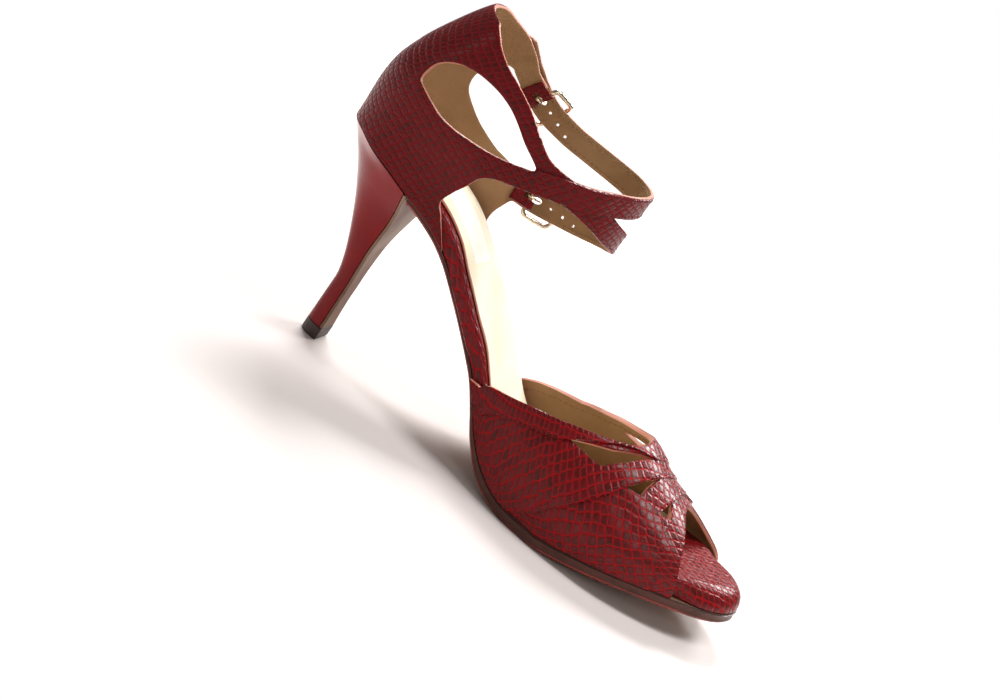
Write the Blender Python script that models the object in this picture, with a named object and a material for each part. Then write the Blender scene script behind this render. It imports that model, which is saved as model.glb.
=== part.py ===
"""A left tango sandal with a slim flared heel: open toe, banded vamp, closed heel cup with a cut-out on
each side, and two ankle straps that cross on the inner side of the foot.

Metres, +Z up, +X toward the toe, +Y toward the outer side of the foot, standing on z = 0."""

import math

import bmesh
import bpy
import numpy as np
from mathutils import Matrix, Vector
from mathutils.geometry import delaunay_2d_cdt

# Sizes of the whole shoe
LENGTH = 0.2150
BALL_WIDTH = 0.0765
SEAT_HEIGHT = 0.0775
TOE_SPRING = 0.0116
INSTEP_HEIGHT = 0.0480
COLLAR_HEIGHT = 0.0590
COLLAR_LEAN = 0.0215
ANKLE_WIDTH = 0.0570
ANKLE_REACH = 0.1025

# Thicknesses
OUTSOLE = 0.0040
WAIST_OUTSOLE = 0.0024
INSOLE = 0.0075
SOCK = 0.0010
LEATHER = 0.0018
OVERLAY = 0.0010
CLEARANCE = 0.0003

# Edges of the sole group
WELT = 0.0005
BEVEL = 0.0011
WAIST_INSET = 0.0030
INSOLE_ROUND = 0.0024
TOE_ROUND = 0.0072
SOCK_MARGIN = 0.0028
SOCK_END = 0.1800
SOCK_BOW = 0.0060
SOCK_CORNER = 0.0020
NARROWEST = 0.0100

# Heel
BREAST = 0.0360
HEEL_WAIST_HEIGHT = 0.0220
HEEL_WAIST_WIDTH = 0.0110
HEEL_TIP_WIDTH = 0.0130
HEEL_TIP_REAR = 0.0268
HEEL_TIP_FRONT = 0.0338
LIFT = 0.0050
COVER = 0.0010
BEAD = 0.0003
# How many heel sections slope with the seat, and the fullness of a section's round back
TILTED_SECTIONS = 5
BACK_POWER = 0.9

# Straps and buckles
STRAP_WIDTH = 0.0088
STEP_RUN = 0.0004
FRAME_WIRE = 0.0009
FRAME_LENGTH = 0.0100
FRAME_GAP = 0.0014
FRAME_CORNER = 0.0018
PRONG_WIRE = 0.0005
PRONG_HOLE = 0.0036
TAB_LEATHER = 0.0011
TAB_LENGTH = 0.0080
TAB_INSIDE = 0.0070
# The strap dips by this much from the tab to the front bar
BAR_DIP = 0.0008
# Place of the prong's hole, as a share of the frame's length behind the front bar
PRONG_SEAT = 0.79

# The vamp's first band rises over this share of the length, and no band over less than this
FIRST_BAND, SHORTEST_RISE = 0.16, 0.0120

# Spacing of the points inside the plates and inside the leather
PLATE_NET = 0.0060
SOCK_NET = 0.0072
LEATHER_NET = 0.0055
TAB_NET = 0.0040

# Height of the top of the sole: station along the length, share of the rise to the seat
ARCH = (
    (0.000, 1.000), (0.038, 0.990), (0.083, 0.952), (0.130, 0.912), (0.168, 0.876), (0.204, 0.844),
    (0.242, 0.799), (0.279, 0.733), (0.325, 0.623), (0.372, 0.506), (0.419, 0.384), (0.456, 0.267),
    (0.493, 0.150), (0.530, 0.067), (0.565, 0.022), (0.590, 0.005), (0.612, 0.000), (0.640, 0.000),
)
# Rise of the toe: station, share of the toe spring
SPRING = (
    (0.666, 0.000), (0.698, 0.100), (0.744, 0.276), (0.791, 0.466), (0.837, 0.638), (0.884, 0.776),
    (0.930, 0.879), (0.977, 0.948), (1.000, 1.000),
)
# Sole outline: station, inner and outer half width as shares of the ball width
HALF_WIDTHS = (
    (0.112, 0.344, 0.344), (0.163, 0.342, 0.346), (0.224, 0.327, 0.344), (0.279, 0.310, 0.340),
    (0.349, 0.298, 0.340), (0.419, 0.314, 0.357), (0.489, 0.360, 0.392), (0.558, 0.425, 0.442),
    (0.628, 0.481, 0.484), (0.697, 0.505, 0.501), (0.767, 0.497, 0.494),
)
HEEL_END, HEEL_POWER = 0.112, 2.0
# Station of the quarter's front end, and the length over which the insole widens past the upper
QUARTER_FRONT, FREE_RUN = 0.281, 0.045
# The bare edge ends this share of that length before the vamp, and starts again this share past its front
BARE_LEAD, TOE_LAG = 1.2, 0.2
# Stations over which the sole's waist stops, its full thickness starts and the toe's shoulder grows
WAIST_STOP, WAIST_FADE = 0.42, 0.07
THICK_FROM, THICK_RUN = 0.44, 0.12
SHOULDER_RUN = 0.05
# Share of the sole's thickness that its bevel may take
BEVEL_SHARE = 0.4
TOE_END, TOE_POWER_IN, TOE_POWER_OUT, TOE_TIP_POWER = 0.767, 1.45, 1.50, 1.95
# Ridge of the vamp's inside: station, share of the instep height, inner and outer fullness of the section
RIDGE = (
    (0.419, 1.70, 2.3, 2.2), (0.489, 1.42, 2.4, 2.1), (0.558, 1.22, 2.5, 2.0), (0.646, 1.05, 2.5, 1.9),
    (0.697, 0.975, 2.45, 1.72), (0.735, 0.915, 2.35, 1.65), (0.767, 0.830, 2.25, 1.65),
    (0.805, 0.745, 2.20, 1.80), (0.845, 0.675, 2.20, 1.85), (0.884, 0.590, 2.20, 1.95),
    (0.930, 0.500, 2.20, 2.10), (0.977, 0.410, 2.20, 2.20),
)
RIDGE_SIDE = -0.040
# Back of the heel cup: share of the collar height, lean as a share, width as a share
CUP = (
    (0.000, 0.02, 0.93), (0.158, -0.04, 0.975), (0.373, 0.04, 1.00), (0.573, 0.22, 0.985),
    (0.786, 0.54, 0.935), (0.961, 0.86, 0.87), (1.000, 0.95, 0.85),
)
CUP_BASE = 0.0020
CUP_BLEND = 0.0330
# Stations where the wall's foot on the sole ends, and where it lies right under the same distance of the loop
FOOT_END, FOOT_MATCH = 0.40, 0.25
# The ankle loop seen from above: station as a share of the reach, side as a share of half the ankle width
LOOP = (
    (0.018, 0.00), (0.032, -0.33), (0.085, -0.64), (0.172, -0.865), (0.290, -0.960), (0.420, -0.985),
    (0.550, -1.000), (0.680, -1.000), (0.800, -0.945), (0.895, -0.780), (0.968, -0.470), (1.000, 0.00),
    (0.970, 0.46), (0.910, 0.77), (0.815, 0.98), (0.700, 1.070), (0.565, 1.090), (0.430, 1.050),
    (0.295, 0.985), (0.175, 0.875), (0.085, 0.64), (0.032, 0.33),
)

# Pattern of the quarter. Heights are shares of the collar height above the seat's rear.
# Inner side, from the sole upward and back along the topline: station, height
INNER_EDGE = (
    (0.270, -0.300), (0.250, -0.200), (0.236, -0.130), (0.223, -0.060), (0.232, 0.030), (0.245, 0.114),
    (0.259, 0.205), (0.275, 0.247), (0.296, 0.277), (0.316, 0.296), (0.330, 0.500), (0.318, 0.560),
    (0.303, 0.596), (0.282, 0.652), (0.258, 0.705), (0.225, 0.762), (0.196, 0.805), (0.168, 0.865),
    (0.146, 0.935), (0.124, 0.988),
)
# Outer side: the topline to the upper buckle, the cut-out between the two buckles, and the edge from the
# lower buckle down to the sole
OUTER_TOP = ((0.108, 0.990), (0.139, 0.926), (0.158, 0.878), (0.176, 0.822), (0.190, 0.765))
OUTER_HOLE = (
    (0.182, 0.600), (0.168, 0.650), (0.152, 0.690), (0.136, 0.690), (0.120, 0.650), (0.109, 0.585),
    (0.102, 0.520), (0.103, 0.450), (0.113, 0.395), (0.145, 0.311), (0.172, 0.265), (0.197, 0.232),
    (0.226, 0.206),
)
OUTER_LOW = ((0.276, 0.020), (0.270, -0.030), (0.264, -0.090), (0.263, -0.150), (0.268, -0.225), (0.276, -0.300))
INNER_HOLE = (
    (0.0890, 0.447), (0.0895, 0.510), (0.0960, 0.570), (0.1120, 0.622), (0.1330, 0.658), (0.1620, 0.675),
    (0.1900, 0.672), (0.2140, 0.657), (0.2380, 0.628), (0.2600, 0.585), (0.2850, 0.525), (0.3240, 0.443),
    (0.3030, 0.405), (0.2850, 0.386), (0.2640, 0.368), (0.2400, 0.355), (0.2080, 0.346), (0.1770, 0.343),
    (0.1480, 0.356), (0.1220, 0.390), (0.1020, 0.420),
)
# Straps, from the inner side round the front to the free end on the outer side:
# leg (-1 inner, 0 front, 1 outer), station, height of the middle, share of the strap width
UPPER_STRAP = (
    (-1, 0.290, 0.336, 0.90), (-1, 0.316, 0.365, 0.93), (-1, 0.343, 0.396, 0.98), (-1, 0.377, 0.435, 1.0),
    (-1, 0.415, 0.473, 1.0), (-1, 0.450, 0.522, 1.0), (0, 0.478, 0.560, 1.0), (1, 0.450, 0.560, 1.0),
    (1, 0.429, 0.561, 1.0), (1, 0.379, 0.556, 1.0), (1, 0.335, 0.556, 1.0), (1, 0.290, 0.560, 1.0),
    (1, 0.240, 0.585, 1.0), (1, 0.206, 0.640, 1.0), (1, 0.181, 0.700, 1.0), (1, 0.158, 0.780, 1.0),
    (1, 0.143, 0.835, 1.0),
)
LOWER_STRAP = (
    (-1, 0.292, 0.560, 0.72), (-1, 0.309, 0.512, 0.78), (-1, 0.330, 0.470, 0.86), (-1, 0.358, 0.449, 0.95),
    (-1, 0.392, 0.440, 1.0), (-1, 0.421, 0.425, 1.0), (-1, 0.447, 0.392, 1.0), (-1, 0.465, 0.350, 1.0),
    (0, 0.478, 0.300, 1.0), (1, 0.463, 0.250, 1.0), (1, 0.437, 0.210, 1.0), (1, 0.391, 0.155, 1.0),
    (1, 0.345, 0.116, 1.0), (1, 0.310, 0.108, 1.0), (1, 0.279, 0.110, 1.0), (1, 0.251, 0.122, 1.0),
    (1, 0.224, 0.138, 1.0), (1, 0.203, 0.152, 1.0),
)
# Stations of the buckles' front bars
UPPER_BAR, LOWER_BAR = 0.250, 0.345
STEP_FROM, STEP_TO, STEP_FADE, STEP_LEVEL = 0.290, 0.427, 0.036, 0.4

# Pattern of the vamp: station, turn over the section from -1 on the inner edge of the sole to 1 on the outer
TOPLINE = (
    (0.430, -1.000), (0.4640, -0.835), (0.5350, -0.648), (0.5940, -0.520), (0.6480, -0.398), (0.6900, -0.275),
    (0.7120, -0.150), (0.7180, 0.020), (0.7120, 0.170), (0.6900, 0.310), (0.6380, 0.465), (0.5900, 0.560),
    (0.5260, 0.690), (0.4780, 0.840), (0.445, 1.000),
)
PEEP_EDGE = (
    (0.893, -1.000), (0.8870, -0.880), (0.8760, -0.680), (0.8620, -0.420), (0.8470, -0.240), (0.8340, -0.090),
    (0.8310, 0.060), (0.8420, 0.200), (0.8700, 0.380), (0.9050, 0.650), (0.9240, 0.860), (0.932, 1.000),
)
# Gaps, each round its edge from the apex: apex, upper edge, rear corner, front corner, lower edge
GAPS = (
    ((0.7400, -0.120), (0.6820, -0.372), (0.6195, -0.548), (0.6820, -0.508), (0.7100, -0.354)),
    ((0.7630, -0.170), (0.7420, -0.394), (0.7325, -0.474), (0.7580, -0.419), (0.7590, -0.310)),
    ((0.8035, -0.157), (0.8000, -0.276), (0.7970, -0.383), (0.8180, -0.344), (0.8115, -0.252)),
    ((0.7560, 0.190), (0.7110, 0.330), (0.6680, 0.450), (0.7040, 0.420), (0.7280, 0.320)),
    ((0.7800, 0.190), (0.7640, 0.310), (0.7530, 0.390), (0.7770, 0.380), (0.7800, 0.290)),
    ((0.8140, 0.190), (0.8120, 0.280), (0.8120, 0.360), (0.8320, 0.330), (0.8240, 0.260)),
)
# Seams between the bands, rear to front, each from the inner edge of the sole to the outer
SEAMS = (
    ((0.450, -1.000), (0.501, -0.819), (0.553, -0.700), (0.602, -0.602), (0.619, -0.550), (0.700, -0.260),
     (0.740, -0.110), (0.760, 0.210), (0.668, 0.455), (0.584, 0.640), (0.500, 0.860), (0.470, 1.000)),
    ((0.608, -1.000), (0.634, -0.911), (0.671, -0.797), (0.710, -0.637), (0.732, -0.475), (0.763, -0.170),
     (0.786, 0.190), (0.753, 0.390), (0.710, 0.620), (0.665, 0.850), (0.640, 1.000)),
    ((0.857, -1.000), (0.852, -0.930), (0.834, -0.680), (0.818, -0.390), (0.818, -0.343), (0.8035, -0.157),
     (0.816, 0.190), (0.832, 0.330), (0.835, 0.560), (0.826, 0.850), (0.820, 1.000)),
)

LEATHER_RED = ((0.25, 0.012, 0.016), 0.42, 0.0)
LINING = ((0.42, 0.29, 0.15), 0.75, 0.0)
SOLE_BROWN = ((0.10, 0.035, 0.022), 0.55, 0.0)
LACQUER = ((0.27, 0.004, 0.006), 0.12, 0.0)
LIFT_BROWN = ((0.045, 0.018, 0.013), 0.60, 0.0)
PALE_METAL = ((0.75, 0.68, 0.55), 0.22, 1.0)


def material(name, finish):
    colour, roughness, metallic = finish
    made = bpy.data.materials.new(name)
    made.use_nodes = True
    shader = made.node_tree.nodes["Principled BSDF"]
    shader.inputs["Base Color"].default_value = (*colour, 1.0)
    shader.inputs["Roughness"].default_value = roughness
    shader.inputs["Metallic"].default_value = metallic
    made.diffuse_color = (*colour, 1.0)
    return made


def add_object(name, verts, faces, finish):
    """One closed body with its faces pointing out."""
    mesh = bpy.data.meshes.new(name)
    body = bmesh.new()
    made = [body.verts.new(v) for v in verts]
    for face in faces:
        body.faces.new([made[i] for i in face])
    bmesh.ops.recalc_face_normals(body, faces=body.faces)
    if body.calc_volume(signed=True) < 0:
        bmesh.ops.reverse_faces(body, faces=body.faces)
    body.to_mesh(mesh)
    body.free()
    mesh.materials.append(material(name, finish))
    mesh.shade_smooth()
    mesh.set_sharp_from_angle(angle=math.radians(40))
    made = bpy.data.objects.new(name, mesh)
    bpy.context.scene.collection.objects.link(made)
    return made


def flow(table, at, column=1):
    """Smooth value between the rows of a table, without overshoot."""
    x = np.array([row[0] for row in table])
    y = np.array([row[column] for row in table])
    at = np.clip(np.asarray(at, float), x[0], x[-1])
    run = np.diff(x)
    slope = np.diff(y) / run
    weight_a = 2 * run[1:] + run[:-1]
    weight_b = run[1:] + 2 * run[:-1]
    same_way = slope[1:] * slope[:-1] > 0
    safe = np.where(same_way, slope[1:] * slope[:-1], 1.0)
    middle = (weight_a + weight_b) * safe / (weight_a * slope[1:] + weight_b * slope[:-1] + (~same_way))
    tangent = np.concatenate([[slope[0]], np.where(same_way, middle, 0.0), [slope[-1]]])
    i = np.clip(np.searchsorted(x, at, side="right") - 1, 0, len(run) - 1)
    t = (at - x[i]) / run[i]
    cubic, square = t ** 3, t ** 2
    return (
        (2 * cubic - 3 * square + 1) * y[i] + (cubic - 2 * square + t) * run[i] * tangent[i]
        + (3 * square - 2 * cubic) * y[i + 1] + (cubic - square) * run[i] * tangent[i + 1]
    )


def ease(t):
    t = np.clip(t, 0.0, 1.0)
    return t * t * (3 - 2 * t)


def rounded(points, per_span, closed=False):
    """Smooth curve through a few points, as an array of its points."""
    points = np.asarray(points, float)
    if closed:
        rows = np.concatenate([points[-1:], points, points[:2]])
    else:
        rows = np.concatenate([2 * points[:1] - points[1:2], points, 2 * points[-1:] - points[-2:-1]])
    out = []
    for a, b, c, d in zip(rows, rows[1:], rows[2:], rows[3:]):
        for k in range(per_span):
            t = k / per_span
            out.append(0.5 * (2 * b + (c - a) * t + (2 * a - 5 * b + 4 * c - d) * t ** 2
                              + (3 * b - a - 3 * c + d) * t ** 3))
    if not closed:
        out.append(points[-1])
    return np.array(out)


def sole_top(x):
    """Height of the top of the outsole and of the heel's seat."""
    share = np.asarray(x) / LENGTH
    return OUTSOLE + (SEAT_HEIGHT - OUTSOLE) * flow(ARCH, share) + TOE_SPRING * flow(SPRING, share)


def outsole_thickness(x):
    return WAIST_OUTSOLE + (OUTSOLE - WAIST_OUTSOLE) * ease((np.asarray(x) / LENGTH - THICK_FROM) / THICK_RUN)


def half_width(x, side):
    """Distance of the sole's edge from the middle line, on the inner (-1) or the outer (1) side."""
    share = np.clip(np.asarray(x, float) / LENGTH, 0.0, 1.0)
    wide = BALL_WIDTH * flow(HALF_WIDTHS, share, 1 if side < 0 else 2)
    power = TOE_POWER_IN if side < 0 else TOE_POWER_OUT
    toe = np.clip((share - TOE_END) / (1 - TOE_END), 0, 1)
    heel = np.clip((HEEL_END - share) / HEEL_END, 0, 1)
    return wide * (1 - toe ** power) ** (1 / TOE_TIP_POWER) * (1 - heel ** HEEL_POWER) ** (1 / HEEL_POWER)


def sole_stations(first=0.0):
    """Stations along the sole, close together where its ends are round."""
    toe = TOE_END + (1 - TOE_END) * np.sin(np.linspace(0, math.pi / 2, 10)) ** 0.9
    middle = np.linspace(max(first, HEEL_END), TOE_END, 27)
    if first > 0:
        return LENGTH * np.concatenate([middle, toe[1:]])
    heel = HEEL_END * (1 - np.cos(np.linspace(0, math.pi / 2, 9)))
    return LENGTH * np.concatenate([heel[:-1], middle, toe[1:]])


def sole_loop(first=0.0):
    """The sole's edge as a closed loop: out along the inner side, back along the outer side."""
    x = sole_stations(first)
    inner = np.stack([x, -half_width(x, -1)], 1)
    outer = np.stack([x, half_width(x, 1)], 1)[::-1]
    if first > 0:
        return np.concatenate([inner, outer[1:]])
    return np.concatenate([inner, outer[1:-1]])


def inset(loop, amount):
    """Moves each point of a closed loop inward."""
    run = np.roll(loop, -1, 0) - np.roll(loop, 1, 0)
    normal = np.stack([-run[:, 1], run[:, 0]], 1) / np.linalg.norm(run, axis=1, keepdims=True)
    return loop + normal * np.asarray(amount).reshape(-1, 1)


def inside(points, polygon):
    """Which points lie inside a closed polygon."""
    x, y = points[:, 0:1], points[:, 1:2]
    ax, ay = polygon[:, 0], polygon[:, 1]
    bx, by = np.roll(ax, -1), np.roll(ay, -1)
    crosses = (ay > y) != (by > y)
    rise = np.where(by == ay, 1.0, by - ay)
    return ((crosses & (x < (bx - ax) * (y - ay) / rise + ax)).sum(1) % 2).astype(bool)


def distance_to(points, polygon, closed=True):
    """Distance of each point from a polygon's edge."""
    a = polygon if closed else polygon[:-1]
    b = np.roll(polygon, -1, 0) if closed else polygon[1:]
    run = b - a
    long = np.maximum((run ** 2).sum(1), 1e-18)
    t = np.clip(((points[:, None] - a) * run).sum(2) / long, 0, 1)
    return np.linalg.norm(points[:, None] - (a + t[..., None] * run), axis=2).min(1)


def on_sole(points):
    """Lifts what would sink into the sole to just above it."""
    points[:, 2] = np.maximum(points[:, 2], sole_top(points[:, 0]) + CLEARANCE)
    return points


def flat_mesh(polygons, spacing, keep, lines=()):
    """Triangles of the kept area between the polygons' edges, on an even net of points inside."""
    points = [p for polygon in polygons for p in polygon] + [p for line in lines for p in line]
    edges = []
    start = 0
    for polygon in polygons:
        count = len(polygon)
        edges += [(start + i, start + (i + 1) % count) for i in range(count)]
        start += count
    for line in lines:
        edges += [(start + i, start + i + 1) for i in range(len(line) - 1)]
        start += len(line)
    low, high = np.min(points, 0), np.max(points, 0)
    columns = np.arange(low[0], high[0], spacing)
    rows = np.arange(low[1], high[1], spacing * 0.866)
    net = np.array([(c + spacing / 2 * (j % 2), r) for j, r in enumerate(rows) for c in columns])
    clear = keep(net)
    for polygon in polygons:
        clear &= distance_to(net, np.asarray(polygon)) > spacing * 0.45
    for line in lines:
        clear &= distance_to(net, np.asarray(line), closed=False) > spacing * 0.45
    points += list(net[clear])
    verts, _, faces, _, _, _ = delaunay_2d_cdt([Vector(p) for p in points], edges, [], 0, 1e-7)
    verts = np.array([tuple(v) for v in verts])
    faces = np.array([tuple(f) for f in faces])
    faces = faces[keep(verts[faces].mean(1))]
    used = np.unique(faces)
    renumber = np.zeros(len(verts), int)
    renumber[used] = np.arange(len(used))
    return verts[used], renumber[faces]


def shell(name, flat, faces, lay, finish):
    """A sheet of leather: the flat pattern laid out twice, as its outer and inner face, and closed at its edges."""
    outer, inner = lay(flat)
    count = len(flat)
    sides = {}
    for a, b, c in faces:
        for edge in ((a, b), (b, c), (c, a)):
            sides[edge] = sides.get(edge, 0) + 1
    rim = [edge for edge in sides if (edge[1], edge[0]) not in sides]
    walls = [(b, a, a + count, b + count) for a, b in rim]
    back = [(c + count, b + count, a + count) for a, b, c in faces]
    return add_object(name, np.concatenate([outer, inner]), [tuple(f) for f in faces] + back + walls, finish)


def stack(name, loops, finish, spacing, floor, roof):
    """A plate: loops of equal count one above the other, closed below and above by curved caps."""
    loops = [np.asarray(loop) for loop in loops]
    count = len(loops[0])
    verts = list(np.concatenate(loops))
    faces = []
    for level in range(len(loops) - 1):
        for i in range(count):
            j = (i + 1) % count
            faces.append((level * count + i, level * count + j, (level + 1) * count + j, (level + 1) * count + i))
    for level, height in ((0, floor), (len(loops) - 1, roof)):
        rim = loops[level][:, :2]
        flat, cap = flat_mesh([rim], spacing, lambda p, rim=rim: inside(p, rim))
        place = {}
        for k, point in enumerate(flat):
            near = np.linalg.norm(rim - point, axis=1)
            if near.min() < 1e-6:
                place[k] = level * count + int(near.argmin())
            else:
                place[k] = len(verts)
                verts.append((point[0], point[1], float(height(point[0]))))
        faces += [tuple(place[k] for k in (face[::-1] if level == 0 else face)) for face in cap]
    return add_object(name, verts, faces, finish)


def level(loop, height):
    return np.column_stack([loop, height])


def build_outsole():
    loop = sole_loop(BREAST / LENGTH)
    x = loop[:, 0]
    waist = WAIST_INSET * (1 - ease((x / LENGTH - WAIST_STOP) / WAIST_FADE))
    x_front = BREAST + COVER + 2 * CLEARANCE
    loop[:, 0] = np.maximum(loop[:, 0], x_front)
    loop[:, 1] *= 1 - waist / np.maximum(np.abs(loop[:, 1]), NARROWEST)
    thick = outsole_thickness(loop[:, 0])
    top = sole_top(loop[:, 0])
    bottom = inset(loop, BEVEL)
    bottom[:, 0] = np.maximum(bottom[:, 0], x_front)
    bevel_rise = np.minimum(BEVEL, thick * BEVEL_SHARE)
    under = sole_top(bottom[:, 0]) - outsole_thickness(bottom[:, 0])
    loops = [level(bottom, under), level(loop, top - thick + bevel_rise), level(loop, top)]
    return stack("outsole", loops, SOLE_BROWN, PLATE_NET,
                 lambda at: sole_top(at) - outsole_thickness(at), sole_top)


def insole_edge():
    """Outline of the insole: inside the upper where there is one, and near the sole's edge elsewhere."""
    loop = sole_loop()
    share = loop[:, 0] / LENGTH
    under_upper = WELT + LEATHER + 2 * CLEARANCE
    free = np.zeros(len(loop))
    for side, vamp_rear, vamp_front in ((-1, TOPLINE[0][0], PEEP_EDGE[0][0]), (1, TOPLINE[-1][0], PEEP_EDGE[-1][0])):
        bare = ease((share - QUARTER_FRONT) / FREE_RUN) * (1 - ease((share - vamp_rear) / FREE_RUN + BARE_LEAD))
        toe = ease((share - vamp_front) / FREE_RUN - TOE_LAG)
        free = np.where(loop[:, 1] * side >= 0, np.maximum(bare, toe), free)
    return inset(loop, under_upper + (WELT - under_upper) * free)


def build_insole():
    edge = insole_edge()
    lower = sole_top(edge[:, 0]) + CLEARANCE
    turn = INSOLE_ROUND + (TOE_ROUND - INSOLE_ROUND) * ease((edge[:, 0] / LENGTH - PEEP_EDGE[0][0]) / SHOULDER_RUN)
    loops = [level(edge, lower), level(edge, lower + INSOLE - turn)]
    for angle in (0.45, 0.95, math.pi / 2):
        ring = inset(edge, turn * (1 - math.cos(angle)))
        height = sole_top(ring[:, 0]) + CLEARANCE + INSOLE - turn * (1 - math.sin(angle))
        loops.append(level(ring, height))
    return stack("insole", loops, LEATHER_RED, PLATE_NET,
                 lambda at: sole_top(at) + CLEARANCE, lambda at: sole_top(at) + CLEARANCE + INSOLE)


def build_sock():
    """The sock stops in a shallow curve under the vamp, and shows a margin of the insole along its sides."""
    edge = inset(insole_edge(), SOCK_MARGIN)
    toe = int(edge[:, 0].argmax())
    sides_end = SOCK_END - SOCK_BOW - SOCK_CORNER
    before = edge[:toe][edge[:toe, 0] < sides_end]
    after = edge[toe:][edge[toe:, 0] < sides_end]
    across = np.linspace(before[-1, 1], after[0, 1], 10)[1:-1]
    bow = SOCK_BOW * (1 - (across / np.abs(across).max()) ** 2)
    front = np.column_stack([SOCK_END - SOCK_BOW + bow, across])
    edge = np.concatenate([before, front, after])
    lower = sole_top(edge[:, 0]) + INSOLE + 2 * CLEARANCE
    loops = [level(edge, lower), level(edge, lower + SOCK)]
    return stack("sock_lining", loops, LINING, SOCK_NET,
                 lambda at: sole_top(at) + INSOLE + 2 * CLEARANCE,
                 lambda at: sole_top(at) + INSOLE + 2 * CLEARANCE + SOCK)


# Heel sections from the seat down: share of the drop to the ground, rear and front as shares of the
# breast's place, half width as a share of the seat's
HEEL_SECTIONS = (
    (0.060, 0.095, 0.995, 0.880), (0.135, 0.215, 0.985, 0.745), (0.220, 0.330, 0.972, 0.590),
    (0.310, 0.435, 0.955, 0.465), (0.400, 0.520, 0.935, 0.375), (0.500, 0.615, 0.918, 0.300),
    (0.600, 0.695, 0.918, 0.245), (0.700, 0.742, 0.925, 0.213),
)


# Flare of the heel's tip: share of the height from the lift to the waist, share of the spread to the lift's size
TIP_FLARE = ((0.74, 0.08), (0.48, 0.26), (0.22, 0.58), (0.00, 0.95))


def heel_levels():
    """Rear, front, half width and height of each heel section, from just under the seat to the tip."""
    rows = []
    for drop, rear, front, half in HEEL_SECTIONS:
        width = half * half_width(BREAST, 1)
        rows.append((rear * BREAST, front * BREAST, width, SEAT_HEIGHT * (1 - drop)))
    front = rows[-1][1]
    for height, spread in TIP_FLARE:
        rear = HEEL_TIP_REAR + (rows[-1][0] - HEEL_TIP_REAR) * (1 - spread)
        width = HEEL_WAIST_WIDTH + (HEEL_TIP_WIDTH - HEEL_WAIST_WIDTH) * spread
        reach = LIFT + CLEARANCE + (HEEL_WAIST_HEIGHT - LIFT) * height
        rows.append((rear, front + (HEEL_TIP_FRONT - front) * spread, width / 2, reach))
    return rows


def seat_tilt(x, row):
    """The upper sections slope with the seat, the lower ones lie level."""
    return (sole_top(x) - sole_top(0.0)) * max(0.0, 1 - (row + 1) / TILTED_SECTIONS)


def heel_ring(rear, front, half, count=24):
    """A section with a flat front and a round back."""
    turn = np.linspace(-math.pi / 2, math.pi / 2, count)
    x = front - (front - rear) * np.abs(np.cos(turn)) ** BACK_POWER
    y = half * np.sin(turn)
    return np.column_stack([x, y])


def build_heel():
    count = 24
    turn = np.linspace(-math.pi / 2, math.pi / 2, count)
    seat_x = BREAST * (1 - np.abs(np.cos(turn)))
    seat_y = np.where(turn < 0, -(half_width(seat_x, -1) - WELT), half_width(seat_x, 1) - WELT)
    seat_y[np.abs(turn) < 1e-9] = 0.0
    seat = np.column_stack([seat_x + WELT * np.abs(np.cos(turn)), seat_y])
    loops = [level(seat, sole_top(seat[:, 0]))]
    for row, (rear, front, half, height) in enumerate(heel_levels()):
        ring = heel_ring(rear, front, half, count)
        loops.append(level(ring, height + seat_tilt(ring[:, 0], row)))
    loops = loops[::-1]
    return stack("heel", loops, LACQUER, PLATE_NET, lambda at: LIFT + CLEARANCE, sole_top)


def build_lift():
    ring = heel_ring(HEEL_TIP_REAR, HEEL_TIP_FRONT + COVER + CLEARANCE, 0.5 * HEEL_TIP_WIDTH, 22)
    loops = [level(ring, np.zeros(22)), level(ring, np.full(22, LIFT))]
    return stack("top_lift", loops, LIFT_BROWN, PLATE_NET, lambda at: 0.0, lambda at: LIFT)


def build_breast_cover():
    """The sole's leather on the flat front of the heel."""
    rows = [(BREAST, half_width(BREAST, 1) - WELT, float(sole_top(BREAST + COVER + CLEARANCE)))]
    for row, (_, front, half, height) in enumerate(heel_levels()):
        rows.append((front, half, height + seat_tilt(front, row)))
    verts, faces = [], []
    for front, half, height in rows:
        back = front + CLEARANCE
        for x, y in ((back, -half), (back, half), (back + COVER, half - BEAD), (back + COVER, BEAD - half)):
            verts.append((x, y, height))
    for i in range(len(rows) - 1):
        for j in range(4):
            k = (j + 1) % 4
            faces.append((4 * i + j, 4 * i + k, 4 * i + 4 + k, 4 * i + 4 + j))
    last = 4 * (len(rows) - 1)
    faces += [(3, 2, 1, 0), (last, last + 1, last + 2, last + 3)]
    return add_object("heel_breast_cover", verts, faces, SOLE_BROWN)


# Width of the vamp's pattern plane for a turn of 1
TURN_WIDTH = 0.045
# The wall stands straight beside the insole, on this height and on this share of the turn
WALL = INSOLE - INSOLE_ROUND + CLEARANCE
WALL_TURN = 0.12


def vamp_section(x, side):
    """Feather height, ridge height, ridge side, reach to the sole's edge and fullness of a section."""
    share = x / LENGTH
    low = sole_top(x) + CLEARANCE
    high = INSTEP_HEIGHT * flow(RIDGE, share, 1)
    ridge = RIDGE_SIDE * BALL_WIDTH + 0.0 * x
    edge = np.where(side < 0, half_width(x, -1), half_width(x, 1)) - WELT - LEATHER
    full = np.where(side < 0, flow(RIDGE, share, 2), flow(RIDGE, share, 3))
    return low, high, ridge, edge, full


def vamp_point(flat):
    """The inside of the vamp under a point of the pattern."""
    x, turn = flat[:, 0], np.clip(flat[:, 1] / TURN_WIDTH, -1, 1)
    side = np.where(turn < 0, -1, 1)
    low, high, ridge, edge, full = vamp_section(x, side)
    angle = np.clip(np.abs(turn) / (1 - WALL_TURN), 0, 1) * math.pi / 2
    down = np.clip((np.abs(turn) - 1) / WALL_TURN + 1, 0, 1)
    across = np.abs(np.sin(angle)) ** (2 / full)
    up = np.abs(np.cos(angle)) ** (2 / full)
    y = ridge + side * (edge + side * -ridge) * across
    return np.column_stack([x, y, low + WALL * (1 - down) + (high - low - WALL) * up])


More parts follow.
